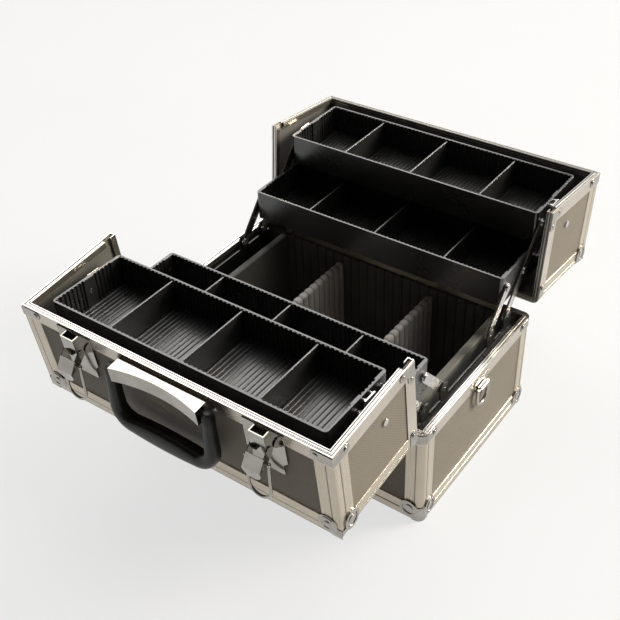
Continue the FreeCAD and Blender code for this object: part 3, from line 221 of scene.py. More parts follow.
def write_inset(mesh, corners, across):
    """How far each corner lies in from the piece's nearer border, across its strip, in metres."""
    faces = np.arange(len(corners))
    axis = across.argmax(1)
    low, high = corners.min((0, 1))[axis], corners.max((0, 1))[axis]
    places = corners[faces, :, axis]
    near_low = places.mean(1) < (low + high) / 2
    inset = np.where(near_low[:, None], places - low[:, None], high[:, None] - places)
    inset[across[faces, axis] < STRIP_SHARE] = 0.0
    layer = mesh.attributes.new("inset", "FLOAT", "CORNER")
    layer.data.foreach_set("value", inset.ravel().astype(np.float32))


def write_crest(mesh, normal, body):
    """1 on faces that meet another half or the base when the case is closed, and 0 on the rest."""
    inward = {"front": 1.0, "rear": -1.0}.get(body.split("_")[0], 0.0)
    crest = (normal[:, 2] > CREST_SHARE) | (normal[:, 1] * inward > CREST_SHARE)
    layer = mesh.attributes.new("crest", "FLOAT", "FACE")
    layer.data.foreach_set("value", crest.astype(np.float32))


# Small kit for node materials

class Shader:
    """A principled material and the nodes that feed it."""

    def __init__(self, name, **inputs):
        self.material = bpy.data.materials.new(name)
        self.material.use_nodes = True
        self.tree = self.material.node_tree
        self.bsdf = self.tree.nodes["Principled BSDF"]
        self.rounded = None
        for key, value in inputs.items():
            self.bsdf.inputs[key.replace("_", " ")].default_value = value

    def node(self, kind, values=None, **settings):
        made = self.tree.nodes.new(kind)
        for key, value in settings.items():
            setattr(made, key, value)
        for key, value in (values or {}).items():
            made.inputs[key].default_value = value
        return made

    def link(self, out, into):
        self.tree.links.new(out, into)

    def feed(self, key, out):
        self.link(out, self.bsdf.inputs[key])

    def mapped(self, out, scale):
        mapping = self.node("ShaderNodeMapping", {"Scale": scale})
        self.link(out, mapping.inputs["Vector"])
        return mapping.outputs["Vector"]

    def grain(self, scale=(1.0, 1.0, 1.0)):
        """Strip coordinates, stretched by a scale on each way."""
        layer = self.node("ShaderNodeAttribute", attribute_name="grain")
        return self.mapped(layer.outputs["Vector"], scale)

    def object_space(self, scale=1.0):
        return self.mapped(self.node("ShaderNodeTexCoord").outputs["Object"], (scale, scale, scale))

    def noise(self, vector, detail=3.0, rough=0.55):
        made = self.node("ShaderNodeTexNoise", {"Scale": 1.0, "Detail": detail, "Roughness": rough})
        self.link(vector, made.inputs["Vector"])
        return made.outputs["Fac"]

    def ramp(self, value, stops):
        made = self.node("ShaderNodeValToRGB")
        band = made.color_ramp
        while len(band.elements) < len(stops):
            band.elements.new(0.5)
        for element, (place, colour) in zip(band.elements, stops):
            element.position = place
            element.color = (*colour, 1.0)
        self.link(value, made.inputs["Fac"])
        return made.outputs["Color"]

    def spread(self, value, low, high, start=0.0, end=1.0):
        made = self.node("ShaderNodeMapRange",
                         {"From Min": start, "From Max": end, "To Min": low, "To Max": high})
        self.link(value, made.inputs["Value"])
        return made.outputs["Result"]

    def combine(self, first, second, operation="ADD"):
        made = self.node("ShaderNodeMath", operation=operation)
        for value, socket in zip((first, second), made.inputs):
            if isinstance(value, float):
                socket.default_value = value
            else:
                self.link(value, socket)
        return made.outputs["Value"]

    def wave(self, vector, axis, pitch):
        """Sine along one axis of a vector, from -1 to 1."""
        split = self.node("ShaderNodeSeparateXYZ")
        self.link(vector, split.inputs["Vector"])
        made = self.node("ShaderNodeMath", operation="SINE")
        turn = 2 * math.pi / pitch
        self.link(self.combine(split.outputs[axis], turn, "MULTIPLY"), made.inputs[0])
        return made.outputs["Value"]

    def edges(self, radius):
        """Rounds the edges for the light, and gives 1 along them, down to 0 on the flats, as the mask of a
        lighter edge colour.
        """
        bevel = self.node("ShaderNodeBevel", {"Radius": radius}, samples=EDGE_SAMPLES)
        face = self.node("ShaderNodeNewGeometry")
        dot = self.node("ShaderNodeVectorMath", operation="DOT_PRODUCT")
        self.link(bevel.outputs["Normal"], dot.inputs[0])
        self.link(face.outputs["Normal"], dot.inputs[1])
        self.rounded = bevel.outputs["Normal"]
        return self.spread(dot.outputs["Value"], 0.0, 1.0, EDGE_FLAT, EDGE_FULL)

    # used both for painted shade and painted highlights, and for plain colour changes
    def colour_under_mask(self, colour, mask, mask_colour):
        """A colour that gives way to another one where the mask is 1."""
        made = self.node("ShaderNodeMix", data_type="RGBA")
        self.link(mask, made.inputs[MIX_FACTOR])
        self.link(colour, made.inputs[MIX_FIRST])
        made.inputs[MIX_SECOND].default_value = (*mask_colour, 1.0)
        return made.outputs[MIX_RESULT]

    def value(self, name):
        """A number written on the mesh."""
        return self.node("ShaderNodeAttribute", attribute_name=name).outputs["Fac"]

    def curve(self, value, stops, reach):
        """A height from 0 to 1 along a distance, given at stops from 0 to reach."""
        grey = [(place / reach, (height, height, height)) for place, height in stops]
        made = self.ramp(self.spread(value, 0.0, 1.0, 0.0, reach), grey)
        made.node.color_ramp.interpolation = "EASE"
        return made

    def bump(self, height, strength, distance):
        made = self.node("ShaderNodeBump", {"Strength": strength, "Distance": distance})
        self.link(height, made.inputs["Height"])
        if self.rounded is not None:
            self.link(self.rounded, made.inputs["Normal"])
        self.feed("Normal", made.outputs["Normal"])


def aluminium():
    """Drawn section: rounded nose, a groove beside it given only as a line of painted shade, and fine lines
    along its length, warm grey.
    """
    shader = Shader("drawn_aluminium", Metallic=0.85)
    lines = shader.noise(shader.grain((4.0, 700.0, 700.0)), 3.0, 0.6)
    patch = shader.noise(shader.object_space(14.0))
    tone = shader.combine(shader.spread(lines, 0.0, 0.35), shader.spread(patch, 0.0, 0.65))
    colour = shader.ramp(tone, [(0.2, (0.42, 0.368, 0.29)), (0.8, (0.57, 0.512, 0.42))])
    inset = shader.value("inset")
    # painted shade: a dark line where the groove beside the nose would be in shade; the groove is not shaped
    groove = shader.curve(inset, BAND_GROOVE, BAND_REACH)
    shader.feed("Base Color", shader.colour_under_mask(colour, groove, (0.17, 0.145, 0.115)))
    shader.feed("Roughness", shader.spread(lines, 0.22, 0.31))
    nose = shader.curve(inset, NOSE, BAND_REACH)
    shader.bump(shader.combine(nose, shader.combine(lines, 0.003, "MULTIPLY")), 1.0, NOSE_HEIGHT)
    return shader.material


def rim_metal():
    """Closing section: painted lighter as a highlight where it meets the other half, with finely grooved
    lines there in painted shade; plain on its flanges.
    """
    shader = Shader("bright_rim", Metallic=0.9)
    crest = shader.value("crest")
    line = shader.curve(shader.value("inset"), RIM_LINES, RIM_REACH)
    groove = shader.combine(line, crest, "MULTIPLY")
    patch = shader.noise(shader.object_space(18.0), 3.0)
    flange = shader.ramp(patch, [(0.25, (0.44, 0.395, 0.33)), (0.75, (0.56, 0.51, 0.44))])
    # painted highlight: the faces that meet the other half are painted lighter than the flanges, as if
    # catching the light
    crest_highlight = shader.colour_under_mask(flange, crest, (0.62, 0.605, 0.58))
    # painted shade: the groove lines on those faces are painted near black
    shader.feed("Base Color", shader.colour_under_mask(crest_highlight, groove, (0.035, 0.03, 0.026)))
    shader.feed("Roughness", shader.spread(patch, 0.2, 0.28))
    shader.bump(groove, 0.1, -0.2 * MM)
    return shader.material


def panel_sheet():
    """Dark sheet with a fine mesh of raised bright dots."""
    shader = Shader("dotted_panel", Metallic=0.05, Specular_IOR_Level=0.1)
    grain = shader.grain()
    dots = shader.combine(shader.wave(grain, 0, DOT_PITCH), shader.wave(grain, 1, DOT_PITCH), "MULTIPLY")
    patch = shader.noise(shader.object_space(20.0), 4.0)
    mix = shader.combine(shader.spread(dots, 0.0, 0.75, -1.0), shader.spread(patch, 0.0, 0.25))
    colour = shader.ramp(mix, [(0.3, (0.125, 0.109, 0.087)), (0.65, (0.198, 0.176, 0.145))])
    shader.feed("Base Color", colour)
    shader.feed("Roughness", shader.spread(patch, 0.38, 0.5))
    shader.bump(dots, 0.2, 0.3 * MM)
    return shader.material


def chrome():
    """Plated parts, with faint smudges that only dull the gloss, and a painted highlight along the edges."""
    shader = Shader("chrome_plate", Metallic=1.0)
    smudge = shader.noise(shader.object_space(45.0), 4.0, 0.6)
    colour = shader.ramp(smudge, [(0.3, (0.31, 0.292, 0.262)), (0.75, (0.43, 0.41, 0.378))])
    # painted highlight: a light colour along the edges, where the rounded edges catch the light
    shader.feed("Base Color", shader.colour_under_mask(colour, shader.edges(0.2 * MM), (0.74, 0.725, 0.70)))
    shader.feed("Roughness", shader.spread(smudge, 0.05, 0.14))
    shader.bump(smudge, 0.01, 0.2 * MM)
    return shader.material


def steel():
    """Stamped arms and pins, bright with fine lines."""
    shader = Shader("plated_steel", Metallic=1.0)
    lines = shader.noise(shader.grain((20.0, 800.0, 800.0)), 3.0, 0.6)
    colour = shader.ramp(lines, [(0.2, (0.46, 0.45, 0.435)), (0.8, (0.64, 0.63, 0.615))])
    shader.feed("Base Color", shader.colour_under_mask(colour, shader.edges(0.3 * MM), (0.78, 0.77, 0.75)))
    shader.feed("Roughness", shader.spread(lines, 0.16, 0.28))
    shader.bump(lines, 0.03, 0.3 * MM)
    return shader.material


def tray_plastic():
    """Moulded black plastic, painted a little grey along its edges as a highlight."""
    shader = Shader("moulded_black", Metallic=0.0, Specular_IOR_Level=1.0)
    skin = shader.noise(shader.object_space(1400.0), 2.0)
    patch = shader.noise(shader.object_space(25.0))
    colour = shader.ramp(patch, [(0.3, (0.0075, 0.0072, 0.0068)), (0.75, (0.013, 0.0125, 0.012))])
    # painted highlight: grey along the edges, where they catch the light
    shader.feed("Base Color", shader.colour_under_mask(colour, shader.edges(0.35 * MM), (0.10, 0.094, 0.096)))
    shader.feed("Roughness", shader.spread(patch, 0.24, 0.32))
    shader.bump(skin, 0.02, 0.1 * MM)
    return shader.material


def black_coat():
    """Black coated metal, lighter grey along its edges."""
    shader = Shader("black_coated_metal", Metallic=0.2)
    patch = shader.noise(shader.object_space(120.0), 4.0)
    colour = shader.ramp(patch, [(0.3, (0.010, 0.010, 0.009)), (0.8, (0.024, 0.024, 0.022))])
    shader.feed("Base Color", shader.colour_under_mask(colour, shader.edges(0.5 * MM), (0.16, 0.155, 0.15)))
    shader.feed("Roughness", shader.spread(patch, 0.22, 0.36))
    shader.bump(patch, 0.1, 0.3 * MM)
    return shader.material


def lining_cloth():
    """Black woven lining, with painted shade in the valleys along its seams."""
    shader = Shader("lining_cloth", Metallic=0.0, Sheen_Weight=0.3)
    vector = shader.object_space()
    weave = shader.combine(shader.wave(vector, 0, LINING_WEAVE), shader.wave(vector, 2, LINING_WEAVE),
                           "MULTIPLY")
    patch = shader.noise(shader.object_space(30.0), 4.0)
    colour = shader.ramp(patch, [(0.25, (0.048, 0.045, 0.036)), (0.8, (0.082, 0.077, 0.063))])
    # painted shade: near black in the valleys along the seams
    shader.feed("Base Color", shader.colour_under_mask(colour, shader.value("seam"), (0.004, 0.004, 0.0035)))
    shader.feed("Roughness", shader.spread(patch, 0.55, 0.75))
    shader.bump(weave, 0.2, 0.3 * MM)
    return shader.material


def padding_cloth():
    """Grey satin cloth over foam, with painted shade in the valleys along its seams."""
    shader = Shader("padding_cloth", Metallic=0.0, Sheen_Weight=0.4, Sheen_Roughness=0.4)
    vector = shader.object_space()
    weave = shader.combine(shader.wave(vector, 1, PADDING_WEAVE), shader.wave(vector, 2, PADDING_WEAVE),
                           "MULTIPLY")
    patch = shader.noise(shader.object_space(45.0), 4.0)
    mix = shader.combine(shader.spread(patch, 0.0, 0.7), shader.spread(weave, 0.0, 0.3, -1.0))
    colour = shader.ramp(mix, [(0.2, (0.40, 0.368, 0.346)), (0.8, (0.58, 0.54, 0.512))])
    # painted shade: darker in the valleys along the seams
    shader.feed("Base Color", shader.colour_under_mask(colour, shader.value("seam"), (0.045, 0.041, 0.038)))
    shader.feed("Roughness", shader.spread(patch, 0.45, 0.62))
    shader.bump(weave, 0.15, 0.3 * MM)
    return shader.material


def grip_rubber():
    """Dull black moulding with a fine skin."""
    shader = Shader("grip_rubber", Metallic=0.0, Specular_IOR_Level=0.3)
    skin = shader.noise(shader.object_space(700.0), 2.0)
    patch = shader.noise(shader.object_space(35.0))
    colour = shader.ramp(patch, [(0.3, (0.005, 0.005, 0.0042)), (0.75, (0.010, 0.0098, 0.0085))])
    shader.feed("Base Color", colour)
    shader.feed("Roughness", shader.spread(patch, 0.28, 0.42))
    shader.bump(skin, 0.12, 0.4 * MM)
    return shader.material


MADE = {"aluminium": aluminium(), "dark_board": panel_sheet(), "black_lining": lining_cloth(),
        "grey_padding": padding_cloth(), "black_plastic": tray_plastic(), "black_metal": black_coat(),
        "bright_steel": steel(), "chrome": chrome(), "grip_rubber": grip_rubber()}
RIM = rim_metal()
SLOTS = {part["node"]: part["material_slot"] for part in frame["record"]["subparts"]}

for name, node in NODES.items():
    write_grain(node, body_axes(name))
    node.data.materials.clear()
    node.data.materials.append(RIM if name.endswith(("rim", "rims")) else MADE[SLOTS[name]])


# Modelled pieces

class Heap:
    """Points and faces of one piece, gathered part by part, with how much of a seam each point is, which the
    cloths paint as shade.
    """

    def __init__(self):
        self.points = []
        self.faces = []
        self.seams = []

    def loft(self, rows, seams=None):
        """Closed solid through rings of equally many points, capped at both ends."""
        count = len(rows[0])
        start = len(self.points)
        for index, row in enumerate(rows):
            self.points += [tuple(point) for point in row]
            self.seams += [seams[index] if seams else 0.0] * count
        for step in range(len(rows) - 1):
            here = start + step * count
            for index in range(count):
                following = (index + 1) % count
                self.faces.append((here + index, here + following,
                                   here + count + following, here + count + index))
        last = start + (len(rows) - 1) * count
        self.faces.append(tuple(range(start, start + count))[::-1])
        self.faces.append(tuple(range(last, last + count)))

    def piece(self, name, body, slot, sharp=40.0):
        """Object of the gathered points, riding on a body, with edges sharper than an angle left hard."""
        data = bpy.data.meshes.new(name)
        data.from_pydata(self.points, [], self.faces)
        layer = data.attributes.new("seam", "FLOAT", "POINT")
        layer.data.foreach_set("value", self.seams)
        mesh = bmesh.new()
        mesh.from_mesh(data)
        bmesh.ops.recalc_face_normals(mesh, faces=mesh.faces[:])
        mesh.to_mesh(data)
        mesh.free()
        data.polygons.foreach_set("use_smooth", [True] * len(data.polygons))
        data.set_sharp_from_angle(angle=math.radians(sharp))
        data.materials.append(MADE[slot])
        made = bpy.data.objects.new(name, data)
        bpy.context.scene.collection.objects.link(made)
        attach(made, body)
        return made


def rib(heap, start, along, across, out):
    """Flat-topped rib seated on a wall: along is its whole length, across and out its directions."""
    row = [start + across * (TOOTH_WIDTH / 2 * share) + out * (TOOTH_DEPTH * rise)
           for share, rise in RIB_SECTION]
    row += [row[-1] - out * SEAT, row[0] - out * SEAT]
    heap.loft([row, [point + along for point in row]])


def tray_ribs(half, level):
    """Upright teeth round a tray's walls and ribs across its floor, in one piece with it."""
    node = "_".join((half, level, "tray"))
    low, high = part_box(node)
    x0, x1 = low.x + TRAY_WALL, high.x - TRAY_WALL
    y0, y1 = low.y + TRAY_WALL, high.y - TRAY_WALL
    foot = low.z + TRAY_FLOOR
    rise = Vector((0, 0, high.z - TOOTH_DROP - foot))
    across_x, across_y = Vector((1, 0, 0)), Vector((0, 1, 0))
    heap = Heap()
    count = int((x1 - x0) / TOOTH_PITCH / 2) + 1
    for step in range(-count, count):
        x = TRAY_MIDDLE_X + (step + 0.5) * TOOTH_PITCH
        if not x0 + TOOTH_PITCH / 2 < x < x1 - TOOTH_PITCH / 2:
            continue
        rib(heap, Vector((x, y0, foot)), Vector((0, y1 - y0, 0)), across_x, Vector((0, 0, 1)))
        rib(heap, Vector((x, y0, foot)), rise, across_x, across_y)
        rib(heap, Vector((x, y1, foot)), rise, across_x, -across_y)
    pads = [high.y - place if half == "front" else low.y + place for place in PAD_PLACES[level]]
    count = int((y1 - y0) / TOOTH_PITCH)
    margin = (y1 - y0 - (count - 1) * TOOTH_PITCH) / 2
    for step in range(count):
        y = y0 + margin + step * TOOTH_PITCH
        if min(abs(y - pad) for pad in pads) < PAD_CLEAR:
            continue
        rib(heap, Vector((x0, y, foot)), rise, across_y, across_x)
        rib(heap, Vector((x1, y, foot)), rise, across_y, -across_x)
    heap.piece(node + "_ribs", node, "black_plastic")


def padded_divider(end):
    """Foam sheet folded over its top and sewn into upright ribs that puff out between the seams."""
    node = "base_divider_" + end
    low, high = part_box(node)
    middle = (low.x + high.x) / 2
    crown = (high.x - low.x) / 2
    length = high.y - low.y
    heap = Heap()
    rows, seams = [], []
    for step in range(RIB_COUNT * RIB_STEPS + 1):
        y = low.y + length * step / (RIB_COUNT * RIB_STEPS)
        way = 2 * (step % RIB_STEPS) / RIB_STEPS - 1
        swell = max(1 - abs(way) ** RIB_FULLNESS, 0.0)
        sway = SLOW_SWAY * math.sin(SLOW_SWAY_RATE * y) + QUICK_SWAY * math.sin(QUICK_SWAY_RATE * y + 1.0)
        half = crown - SEAM_DEPTH * (1 - swell) * (1 + sway)
        top = high.z - SEAM_DEPTH * (1 - swell)
        bend = top - half
        section = []
        for share in np.linspace(0, 1, DIVIDER_SIDE_STEPS):
            belly = 1 - DIVIDER_BELLY * (1 + math.sin(math.pi * share * BELLY_WAVES + BELLY_DRIFT * y))
            section.append((-half * (belly if share < 1 else 1.0), low.z + (bend - low.z) * share))
        section += [(-half * math.cos(a), bend + half * math.sin(a))
                    for a in np.linspace(0, math.pi, DIVIDER_CROWN_STEPS)[1:-1]]
        section += [(-x, z) for x, z in section[DIVIDER_SIDE_STEPS - 1::-1]]
        rows.append([(middle + x, y, z) for x, z in section])
        # how near each row is to a seam valley, where the padding paints shade
        seams.append(abs(way) ** SEAM_TIGHTNESS)
    heap.loft(rows, seams)
    made = heap.piece("padded_divider_" + end, "base", "grey_padding", sharp=75.0)
    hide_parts(node)


def slab(heap, low, high, round_top):
    """Board with softly rounded upper edges."""
    rows = []
    levels = [(0.0, low.z)] + [(inset, high.z - drop * round_top) for inset, drop in SLAB_EDGE]
    for inset, z in levels:
        shift = inset * round_top
        rows.append([(low.x + shift, low.y + shift, z), (high.x - shift, low.y + shift, z),
                     (high.x - shift, high.y - shift, z), (low.x + shift, high.y - shift, z)])
    heap.loft(rows)


def base_lining():
    """Lining of the base: floor pad, end boards and long walls quilted into upright strips."""
    low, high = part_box("base_liner")
    foot = low.z + LINER_FLOOR
    heap = Heap()
    slab(heap, low, Vector((high.x, high.y, foot)), LINER_ROUND / 2)
    inner_y = high.y - LINER_WALL
    for x0 in (low.x, high.x - LINER_END_WALL):
        slab(heap, Vector((x0, -inner_y, foot)), Vector((x0 + LINER_END_WALL, inner_y, high.z)),
             LINER_ROUND)
    count = int(high.x / LINER_PITCH * LINER_STEPS)
    places = [step * LINER_PITCH / LINER_STEPS for step in range(-count, count + 1)]
    places = [low.x] + places + [high.x]
    for side in (-1, 1):
        rows, seams = [], []
        for x in places:
            way = 2 * (x / LINER_PITCH - math.floor(x / LINER_PITCH)) - 1
            face = inner_y + LINER_SEAM_DEPTH * abs(way) ** LINER_FULLNESS
            row = [(high.y, foot), (high.y, high.z)]
            for angle in np.linspace(90, 180, LINER_ROUND_STEPS):
                row.append((face + LINER_ROUND * (1 + math.cos(math.radians(angle))),
                            high.z - LINER_ROUND * (1 - math.sin(math.radians(angle)))))
            row.append((face, foot))
            rows.append([(x, side * y, z) for y, z in row])
            # how near each row is to a seam valley, where the lining paints shade
            seams.append(abs(way) ** LINER_SEAM_TIGHTNESS)
        heap.loft(rows, seams)
    made = heap.piece("base_lining_pads", "base", "black_lining", sharp=50.0)
    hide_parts("base_liner")


def grip_handle():
    """Moulded loop whose arms run smoothly into a broad, slightly bowed grip."""
    low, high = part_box("handle")
    hang = (low.y + high.y) / 2
    hub = high.z - HANDLE_HUB_RADIUS
    reach = high.x - HANDLE_ARM / 2
    foot = low.z + HANDLE_GRIP
    line = [Vector((reach, hub - step * MM)) for step in HANDLE_ARM_PLACES]
    line += [Vector((reach - HANDLE_BEND * (1 - math.cos(a)), foot + HANDLE_BEND * (1 - math.sin(a))))
             for a in np.linspace(0, math.pi / 2, HANDLE_BEND_STEPS)]
    straight = line[-1].x
    line += [Vector((straight * share, foot)) for share in HANDLE_GRIP_PLACES]
    line += [Vector((-point.x, point.y)) for point in line[-2::-1]]
    rows = []
    for index, point in enumerate(line):
        before, after = line[max(index - 1, 0)], line[min(index + 1, len(line) - 1)]
        way = (after - before).normalized()
        outward = Vector((-way.y, way.x))
        bow = 1 - min(abs(point.x) / straight, 1.0) ** 2 if point.y < foot + HANDLE_BEND else 0.0
        corner = min(max((hub - point.y) / (hub - foot), 0.0), 1.0)
        end = HANDLE_END if index in (0, len(line) - 1) else 1.0
        swell = HANDLE_ARM / 2 + (HANDLE_CORNER - HANDLE_ARM / 2) * corner ** 2
        wide = end * (swell + bow * (HANDLE_GRIP - HANDLE_CORNER))
        deep = end * (HANDLE_ARM_DEPTH + (HANDLE_CORNER - HANDLE_ARM_DEPTH) * corner ** 2)
        row = []
        for turn in np.linspace(0, 2 * math.pi, HANDLE_SIDES + 1)[:-1]:
            across = math.copysign(abs(math.cos(turn)) ** HANDLE_SQUARENESS, math.cos(turn)) * wide
            depth = math.copysign(abs(math.sin(turn)) ** HANDLE_SQUARENESS, math.sin(turn)) * deep
            place = point + outward * across
            row.append((place.x, hang + depth, place.y))
        rows.append(row)
    heap = Heap()
    heap.loft(rows)
    for side in (-1, 1):
        ring = [(hang + HANDLE_STUB * math.cos(a), hub + HANDLE_STUB * math.sin(a))
                for a in np.linspace(0, 2 * math.pi, STUB_SIDES + 1)[:-1]]
        ends = (side * (reach - HANDLE_ARM / 2 - HANDLE_STUB_LENGTH), side * reach)
        heap.loft([[(x, y, z) for y, z in ring] for x in ends])
    made = heap.piece("grip_handle", "handle", "grip_rubber", sharp=50.0)
    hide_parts("handle")


def turned(heap, centre, axis, profile):
    """Solid of revolution on a face: the profile gives a radius at each height, from the face up."""
    side = axis.orthogonal().normalized()
    other = axis.cross(side)
    turns = np.linspace(0, 2 * math.pi, TURNED_SIDES + 1)[:-1]
    spokes = [side * math.cos(a) + other * math.sin(a) for a in turns]
    heap.loft([[centre + axis * height + spoke * radius for spoke in spokes] for radius, height in profile])


def on_lid(half, place, way):
    """A place and a direction on a closed lid half, as they stand when it is open."""
    mirror = 1 if half == "front" else -1
    hinge = Vector((0, -mirror * HINGE_Y, HINGE_Z))
    turn = Matrix.Rotation(LID_TURN[half], 3, "X")
    place = Vector((place[0], mirror * place[1], place[2])) * MM
    way = Vector((way[0], mirror * way[1], way[2]))
    return turn @ (place - hinge) + hinge, turn @ way


def lid_bosses(half):
    """Corner caps' lobes on the broad face of a lid half, each with a ringed boss."""
    heap = Heap()
    for side in (-1, 1):
        centre, up = on_lid(half, (side * BOSS_X, -BOSS_Y, LID_FACE), (0, 0, 1))
        turned(heap, centre, up, BOSS)
        outer, _ = on_lid(half, (side * LID_END, -LID_BACK, LID_FACE), (0, 0, 1))
        across = Vector((-side * CAP_CORNER, 0, 0))
        _, inward = on_lid(half, (0, 0, 0), (0, 1, 0))
        inward = inward * CAP_CORNER
        rows = []
        for share, trim in CAP_ROWS:
            corner = outer + up * (share * CAP_THICK)
            rows.append([corner + across * (u + trim * (1 - 2 * u)) + inward * (v + trim * (1 - 2 * v))
                         for u, v in ((0, 0), (1, 0), (1, 1), (0, 1))])
        heap.loft(rows)
    heap.piece(half + "_lid_cap_bosses", half + "_lid", "chrome")


def rivets(name, body, places):
    """Domed heads of small rivets."""
    heap = Heap()
    for centre, axis in places:
        turned(heap, centre, axis, RIVET)
    heap.piece(name, body, "chrome")


def lid_angles(half):
    """Riveted angle plates on the ends of a lid half, where its split edge meets its seam with the base."""
    heap = Heap()
    radius = ANGLE_WIDTH / 2
    straight = ANGLE_ARM - radius
    tip = [(straight + radius * math.sin(a), radius - radius * math.cos(a))
           for a in np.linspace(0, math.pi, ANGLE_TIP_STEPS)]
    outline = [(0.0, 0.0)] + tip
    outline += [(ANGLE_WIDTH + ANGLE_FILLET, ANGLE_WIDTH), (ANGLE_WIDTH, ANGLE_WIDTH + ANGLE_FILLET)]
    outline += [(v, u) for u, v in tip[::-1]]
    for side in (-1, 1):
        way = (side, 0, 0)
        rows = []
        for rise in (-ANGLE_SEAT, ANGLE_RISE):
            x = side * (LID_END + rise)
            rows.append([on_lid(half, (x, ANGLE_Y - u, ANGLE_Z + v), way)[0] for u, v in outline])
        heap.loft(rows)
        for u, v in ((straight, radius), (radius, straight)):
            centre, out = on_lid(half, (side * (LID_END + ANGLE_RISE), ANGLE_Y - u, ANGLE_Z + v), way)
            turned(heap, centre, out, RIVET)
    heap.piece(half + "_lid_angle_plates", half + "_lid", "chrome")


def fasteners():
    """Rivets of the hinge leaves."""
    base = []
    for half in ("front", "rear"):
        mirror = 1 if half == "front" else -1
        lid = []
        for side in (-1, 1):
            for x in HINGE_RIVETS:
                centre = Vector((side * x, -mirror * HINGE_FACE, HINGE_BASE_RIVET)) * MM
                base.append((centre, Vector((0, -mirror, 0))))
                lid.append(on_lid(half, (side * x, -HINGE_FACE, HINGE_LID_RIVET), (0, -1, 0)))
        rivets(half + "_lid_hinge_rivets", half + "_lid", lid)
    rivets("base_hinge_rivets", "base", base)


grip_handle()
fasteners()
for half in ("front", "rear"):
    lid_bosses(half)
    lid_angles(half)
for half in ("front", "rear"):
    for level in ("lower", "upper"):
        tray_ribs(half, level)
for end in ("left", "right"):
    padded_divider(end)
base_lining()


# Stage, light and camera

SWEEP = ((5.0, -0.0002), (5.5, 0.03), (5.95, 0.14), (6.3, 0.34), (6.55, 0.62), (6.7, 0.98), (6.75, 1.5))
SWEEP_TURNS = 72
FLOOR_WHITE = 0.7
FRAME_PIXELS = 620.0
FOCAL_PIXELS = 1003.6
SENSOR_WIDTH = 36.0
CAMERA_TURN = Vector((2.1597, 0.6752, -0.3789))
CAMERA_SHIFT = Vector((0.0849, 0.2683, 3.2421))
CAMERA_UNIT = 0.365
WORLD_LEAN = (0.0, 0.5, 0.2)
WORLD_REACH = 0.54
WORLD_DARK = (0.42, (0.035, 0.027, 0.018, 1))
WORLD_PALE = (1.0, (0.98, 0.965, 0.94, 1))
LAMP_WHITE = (1.0, 0.985, 0.97)
LAMP_WARM = (1.0, 0.935, 0.81)


def floor():
    """Pale floor that curves up into a low wall, and shows partly white to the camera and in gloss."""
    turns = np.linspace(0, 2 * math.pi, SWEEP_TURNS + 1)[:-1]
    points = [(radius * math.cos(a), radius * math.sin(a), z) for radius, z in SWEEP for a in turns]
    faces = [tuple(range(SWEEP_TURNS))]
    for ring in range(len(SWEEP) - 1):
        for step in range(SWEEP_TURNS):
            here = ring * SWEEP_TURNS + step
            following = ring * SWEEP_TURNS + (step + 1) % SWEEP_TURNS
            faces.append((following, here, here + SWEEP_TURNS, following + SWEEP_TURNS))
    data = bpy.data.meshes.new("floor")
    data.from_pydata(points, [], faces)
    data.polygons.foreach_set("use_smooth", [True] * len(faces))
    made = bpy.data.objects.new("floor", data)
    bpy.context.scene.collection.objects.link(made)
    shader = Shader("pale_floor", Metallic=0.0, Roughness=0.9)
    patch = shader.noise(shader.object_space(3.0))
    colour = shader.ramp(patch, [(0.2, (0.48, 0.478, 0.473)), (0.8, (0.52, 0.518, 0.513))])
    shader.feed("Base Color", colour)
    path = shader.node("ShaderNodeLightPath").outputs
    seen = shader.combine(path["Is Camera Ray"], path["Is Glossy Ray"])
    seen = shader.combine(seen, path["Is Transmission Ray"])
    white = shader.node("ShaderNodeEmission", {"Color": (1.0, 1.0, 1.0, 1.0), "Strength": 1.0})
    both = shader.node("ShaderNodeMixShader")
    shader.link(shader.combine(seen, FLOOR_WHITE, "MULTIPLY"), both.inputs[0])
    shader.link(shader.bsdf.outputs["BSDF"], both.inputs[1])
    shader.link(white.outputs["Emission"], both.inputs[2])
    shader.link(both.outputs["Shader"], shader.tree.nodes["Material Output"].inputs["Surface"])
    data.materials.append(shader.material)


def area_light(name, place, target, size, power, colour, spread=180.0):
    """Rectangular lamp aimed at a target, with its beam's spread in degrees."""
    data = bpy.data.lights.new(name, "AREA")
    data.shape = "RECTANGLE"
    data.size, data.size_y = size
    data.energy = power
    data.color = colour
    data.spread = math.radians(spread)
    made = bpy.data.objects.new(name, data)
    bpy.context.scene.collection.objects.link(made)
    made.location = place
    aim = Vector(target) - Vector(place)
    made.rotation_euler = aim.to_track_quat("-Z", "Y").to_euler()


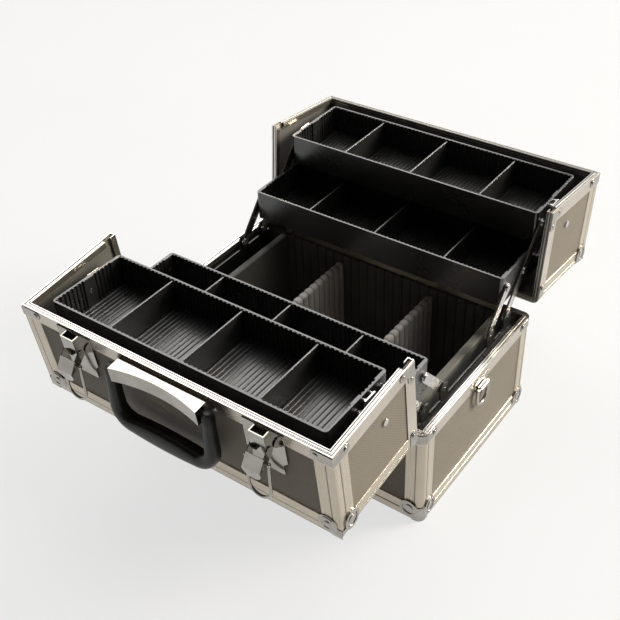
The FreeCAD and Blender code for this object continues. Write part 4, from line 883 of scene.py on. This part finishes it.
def camera():
    """Camera at the photograph's place, from a fit in units of the case's length."""
    turn = Matrix.Rotation(CAMERA_TURN.length, 3, CAMERA_TURN.normalized())
    shift = CAMERA_SHIFT * CAMERA_UNIT
    data = bpy.data.cameras.new("camera")
    data.sensor_width = SENSOR_WIDTH
    data.lens = SENSOR_WIDTH * FOCAL_PIXELS / FRAME_PIXELS
    made = bpy.data.objects.new("camera", data)
    bpy.context.scene.collection.objects.link(made)
    right, down, forward = turn.row[0], turn.row[1], turn.row[2]
    rotation = Matrix((right, -down, -forward)).transposed().to_4x4()
    made.matrix_world = Matrix.Translation(-(turn.transposed() @ shift)) @ rotation
    bpy.context.scene.camera = made


def world():
    """Pale sweep behind the case, a dim ceiling and a dark warm room in front."""
    made = bpy.data.worlds.new("studio")
    made.use_nodes = True
    tree = made.node_tree
    coords = tree.nodes.new("ShaderNodeTexCoord")
    level = tree.nodes.new("ShaderNodeVectorMath")
    level.operation = "DOT_PRODUCT"
    level.inputs[1].default_value = WORLD_LEAN
    ramp = tree.nodes.new("ShaderNodeValToRGB")
    for element, (place, colour) in zip(ramp.color_ramp.elements, (WORLD_DARK, WORLD_PALE)):
        element.position = place
        element.color = colour
    scale = tree.nodes.new("ShaderNodeMapRange")
    scale.inputs["From Min"].default_value = -WORLD_REACH
    scale.inputs["From Max"].default_value = WORLD_REACH
    tree.links.new(coords.outputs["Generated"], level.inputs[0])
    tree.links.new(level.outputs["Value"], scale.inputs["Value"])
    tree.links.new(scale.outputs["Result"], ramp.inputs["Fac"])
    tree.links.new(ramp.outputs["Color"], tree.nodes["Background"].inputs["Color"])
    bpy.context.scene.world = made


floor()
area_light("top_softbox", place=(-2.25, 2.13, 3.0), target=(0.0, -0.05, 0.15), size=(3.4, 2.6),
           power=88, colour=LAMP_WHITE)
area_light("right_key", place=(2.65, 3.1, 1.75), target=(0.0, 0.0, 0.1), size=(1.9, 1.9),
           power=80, colour=LAMP_WARM, spread=80.0)
area_light("overhead", place=(0.75, 0.85, 3.2), target=(0.0, 0.0, 0.1), size=(1.4, 1.4),
           power=28, colour=LAMP_WHITE)
camera()
world()
bpy.context.scene.view_settings.view_transform = "Standard"
